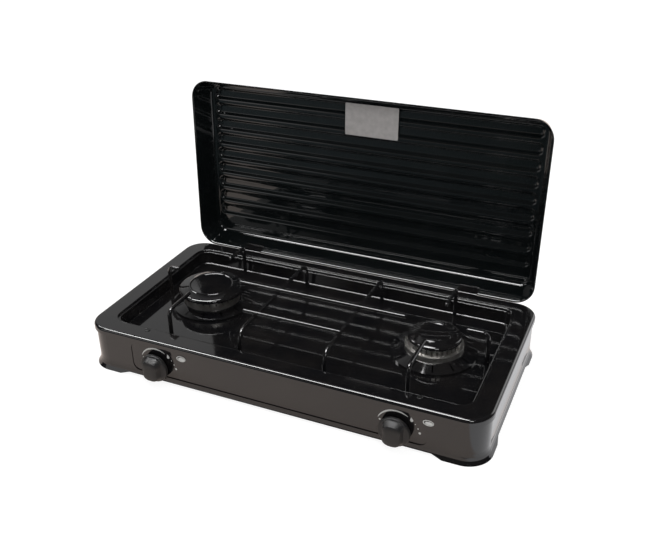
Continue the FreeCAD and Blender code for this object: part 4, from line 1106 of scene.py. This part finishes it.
@dataclass
class Studio:
    """The floor, the lamps, the world and the camera."""

    eye: tuple[float, float, float] = (368.199 * MM, -788.379 * MM, 582.097 * MM)
    yaw: float = -0.422
    pitch: float = 0.494
    roll: float = -0.012
    focal_pixels: float = 822.832
    sensor: float = 36.0
    clip: Point = (0.01, 50.0)
    floor_half: float = 9.0
    floor_glow: float = 1.42
    floor_share: float = 0.62
    floor_near: Colour = (0.6, 0.49, 0.425)
    floor_beside: Colour = (0.8, 0.8, 0.82)
    floor_stops: Stops = ((0.249, 0.0), (0.252, 1.0))
    card_gap: float = 78.0 * MM
    card_run: float = 4.0
    card_half: float = 4.0
    card_lift: float = 0.8 * MM
    card_colour: Colour = (0.82, 1.0, 1.06)
    card_fade: Stops = ((0.0, 0.16), (0.45, 0.1), (1.0, 0.03))
    room_light: float = 0.55
    room_mirrored: float = 0.035

    def build(self) -> None:
        """Adds everything that isn't the stove."""
        self.add_floor()
        self.add_card()
        self.add_world()
        for lamp in LAMPS:
            lamp.build()
        self.add_camera()

    def add_floor(self) -> None:
        """Adds the floor, which is white to the camera and tinted in reflections."""
        half = self.floor_half
        floor = add_sheet("studio_floor", (-half, -half), (half, half), 0.0)
        material, graph = new_material("studio_floor")
        glossy = graph.ray("Glossy")
        seen = graph.ray("Camera") + glossy + graph.ray("Transmission")
        beside = graph.ramp(graph.part(graph.place()), self.floor_stops)
        mirrored = graph.tint(beside, self.floor_near, self.floor_beside)
        colour = graph.add("Mix", {"data_type": "RGBA"}, {0: glossy, 6: WHITE, 7: mirrored}, 2)
        matt = graph.add("BsdfDiffuse", inputs={"Color": (0.8, 0.8, 0.8, 1.0)})
        glow = graph.add("Emission", inputs={"Color": colour, "Strength": self.floor_glow})
        graph.finish(graph.add("MixShader", inputs={0: seen * self.floor_share, 1: matt, 2: glow}))
        floor.data.materials.append(material)

    def add_card(self) -> None:
        """Adds a dark card on the floor before the stove, which only reflections show."""
        low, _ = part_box("hob_body")
        near = low.y - self.card_gap
        card = add_sheet("studio_card", (-self.card_half, near - self.card_run),
                         (self.card_half, near), self.card_lift)
        material, graph = new_material("studio_card")
        fade = graph.ramp(graph.part(graph.place()) * 1.1 + 0.66, self.card_fade)
        graph.finish(graph.add("Emission", inputs={"Color": (*self.card_colour, 1.0),
                                                   "Strength": fade}))
        card.data.materials.append(material)
        card.visible_camera = False
        card.visible_diffuse = False
        card.visible_shadow = False
        card.visible_transmission = False

    def add_world(self) -> None:
        """Sets the light from all round: white to the camera and dark with glows in reflections."""
        world = bpy.data.worlds.new("studio_world")
        bpy.context.scene.world = world
        world.use_nodes = True
        graph = Graph(world.node_tree, "ShaderNodeOutputWorld")
        heading = graph.add("TexCoord", output="Generated")
        mirrored = sum((glow.glow(graph, heading) for glow in GLOWS), self.room_mirrored)
        room, dark, white = (graph.add("Background", inputs={"Color": WHITE, "Strength": strength})
                             for strength in (self.room_light, mirrored, 1.0))
        lit = graph.add("MixShader", inputs={0: graph.ray("Glossy"), 1: room, 2: dark})
        graph.finish(graph.add("MixShader", inputs={0: graph.ray("Camera"), 1: lit, 2: white}))

    def add_camera(self) -> None:
        """Adds the camera at the place and angle fitted to the photo."""
        low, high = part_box("hob_body")
        middle = Vector(((low.x + high.x) / 2, (low.y + high.y) / 2, low.z))
        forward = Vector((math.cos(self.pitch) * math.sin(self.yaw),
                          math.cos(self.pitch) * math.cos(self.yaw), -math.sin(self.pitch)))
        level = Vector((math.cos(self.yaw), -math.sin(self.yaw), 0.0))
        upward = level.cross(forward)
        right = level * math.cos(self.roll) + upward * math.sin(self.roll)
        up = upward * math.cos(self.roll) - level * math.sin(self.roll)
        data = bpy.data.cameras.new("camera")
        data.sensor_fit = "HORIZONTAL"
        data.sensor_width = self.sensor
        data.lens = self.focal_pixels / IMAGE_WIDTH * self.sensor
        data.clip_start, data.clip_end = self.clip
        camera = new_object("camera", data)
        camera.matrix_world = Matrix((
            (right.x, up.x, -forward.x, middle.x + self.eye[0]),
            (right.y, up.y, -forward.y, middle.y + self.eye[1]),
            (right.z, up.z, -forward.z, middle.z + self.eye[2]),
            (0.0, 0.0, 0.0, 1.0),
        ))
        bpy.context.scene.camera = camera


def main() -> None:
    """Builds the studio and the stove, piece by piece."""
    logging.basicConfig(level=logging.INFO, format="%(name)s: %(message)s")
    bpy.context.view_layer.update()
    bpy.context.scene.view_settings.view_transform = "Standard"
    Studio().build()
    paint = Paint()
    assemblies = [Casing(paint), Burners(paint), PanSupport(paint), Lid(paint)]
    for side in SIDES:
        assemblies += [Knob(paint, side), Dial(paint, side)]
    for assembly in assemblies:
        assembly.dress()


if __name__ == "__main__":
    main()
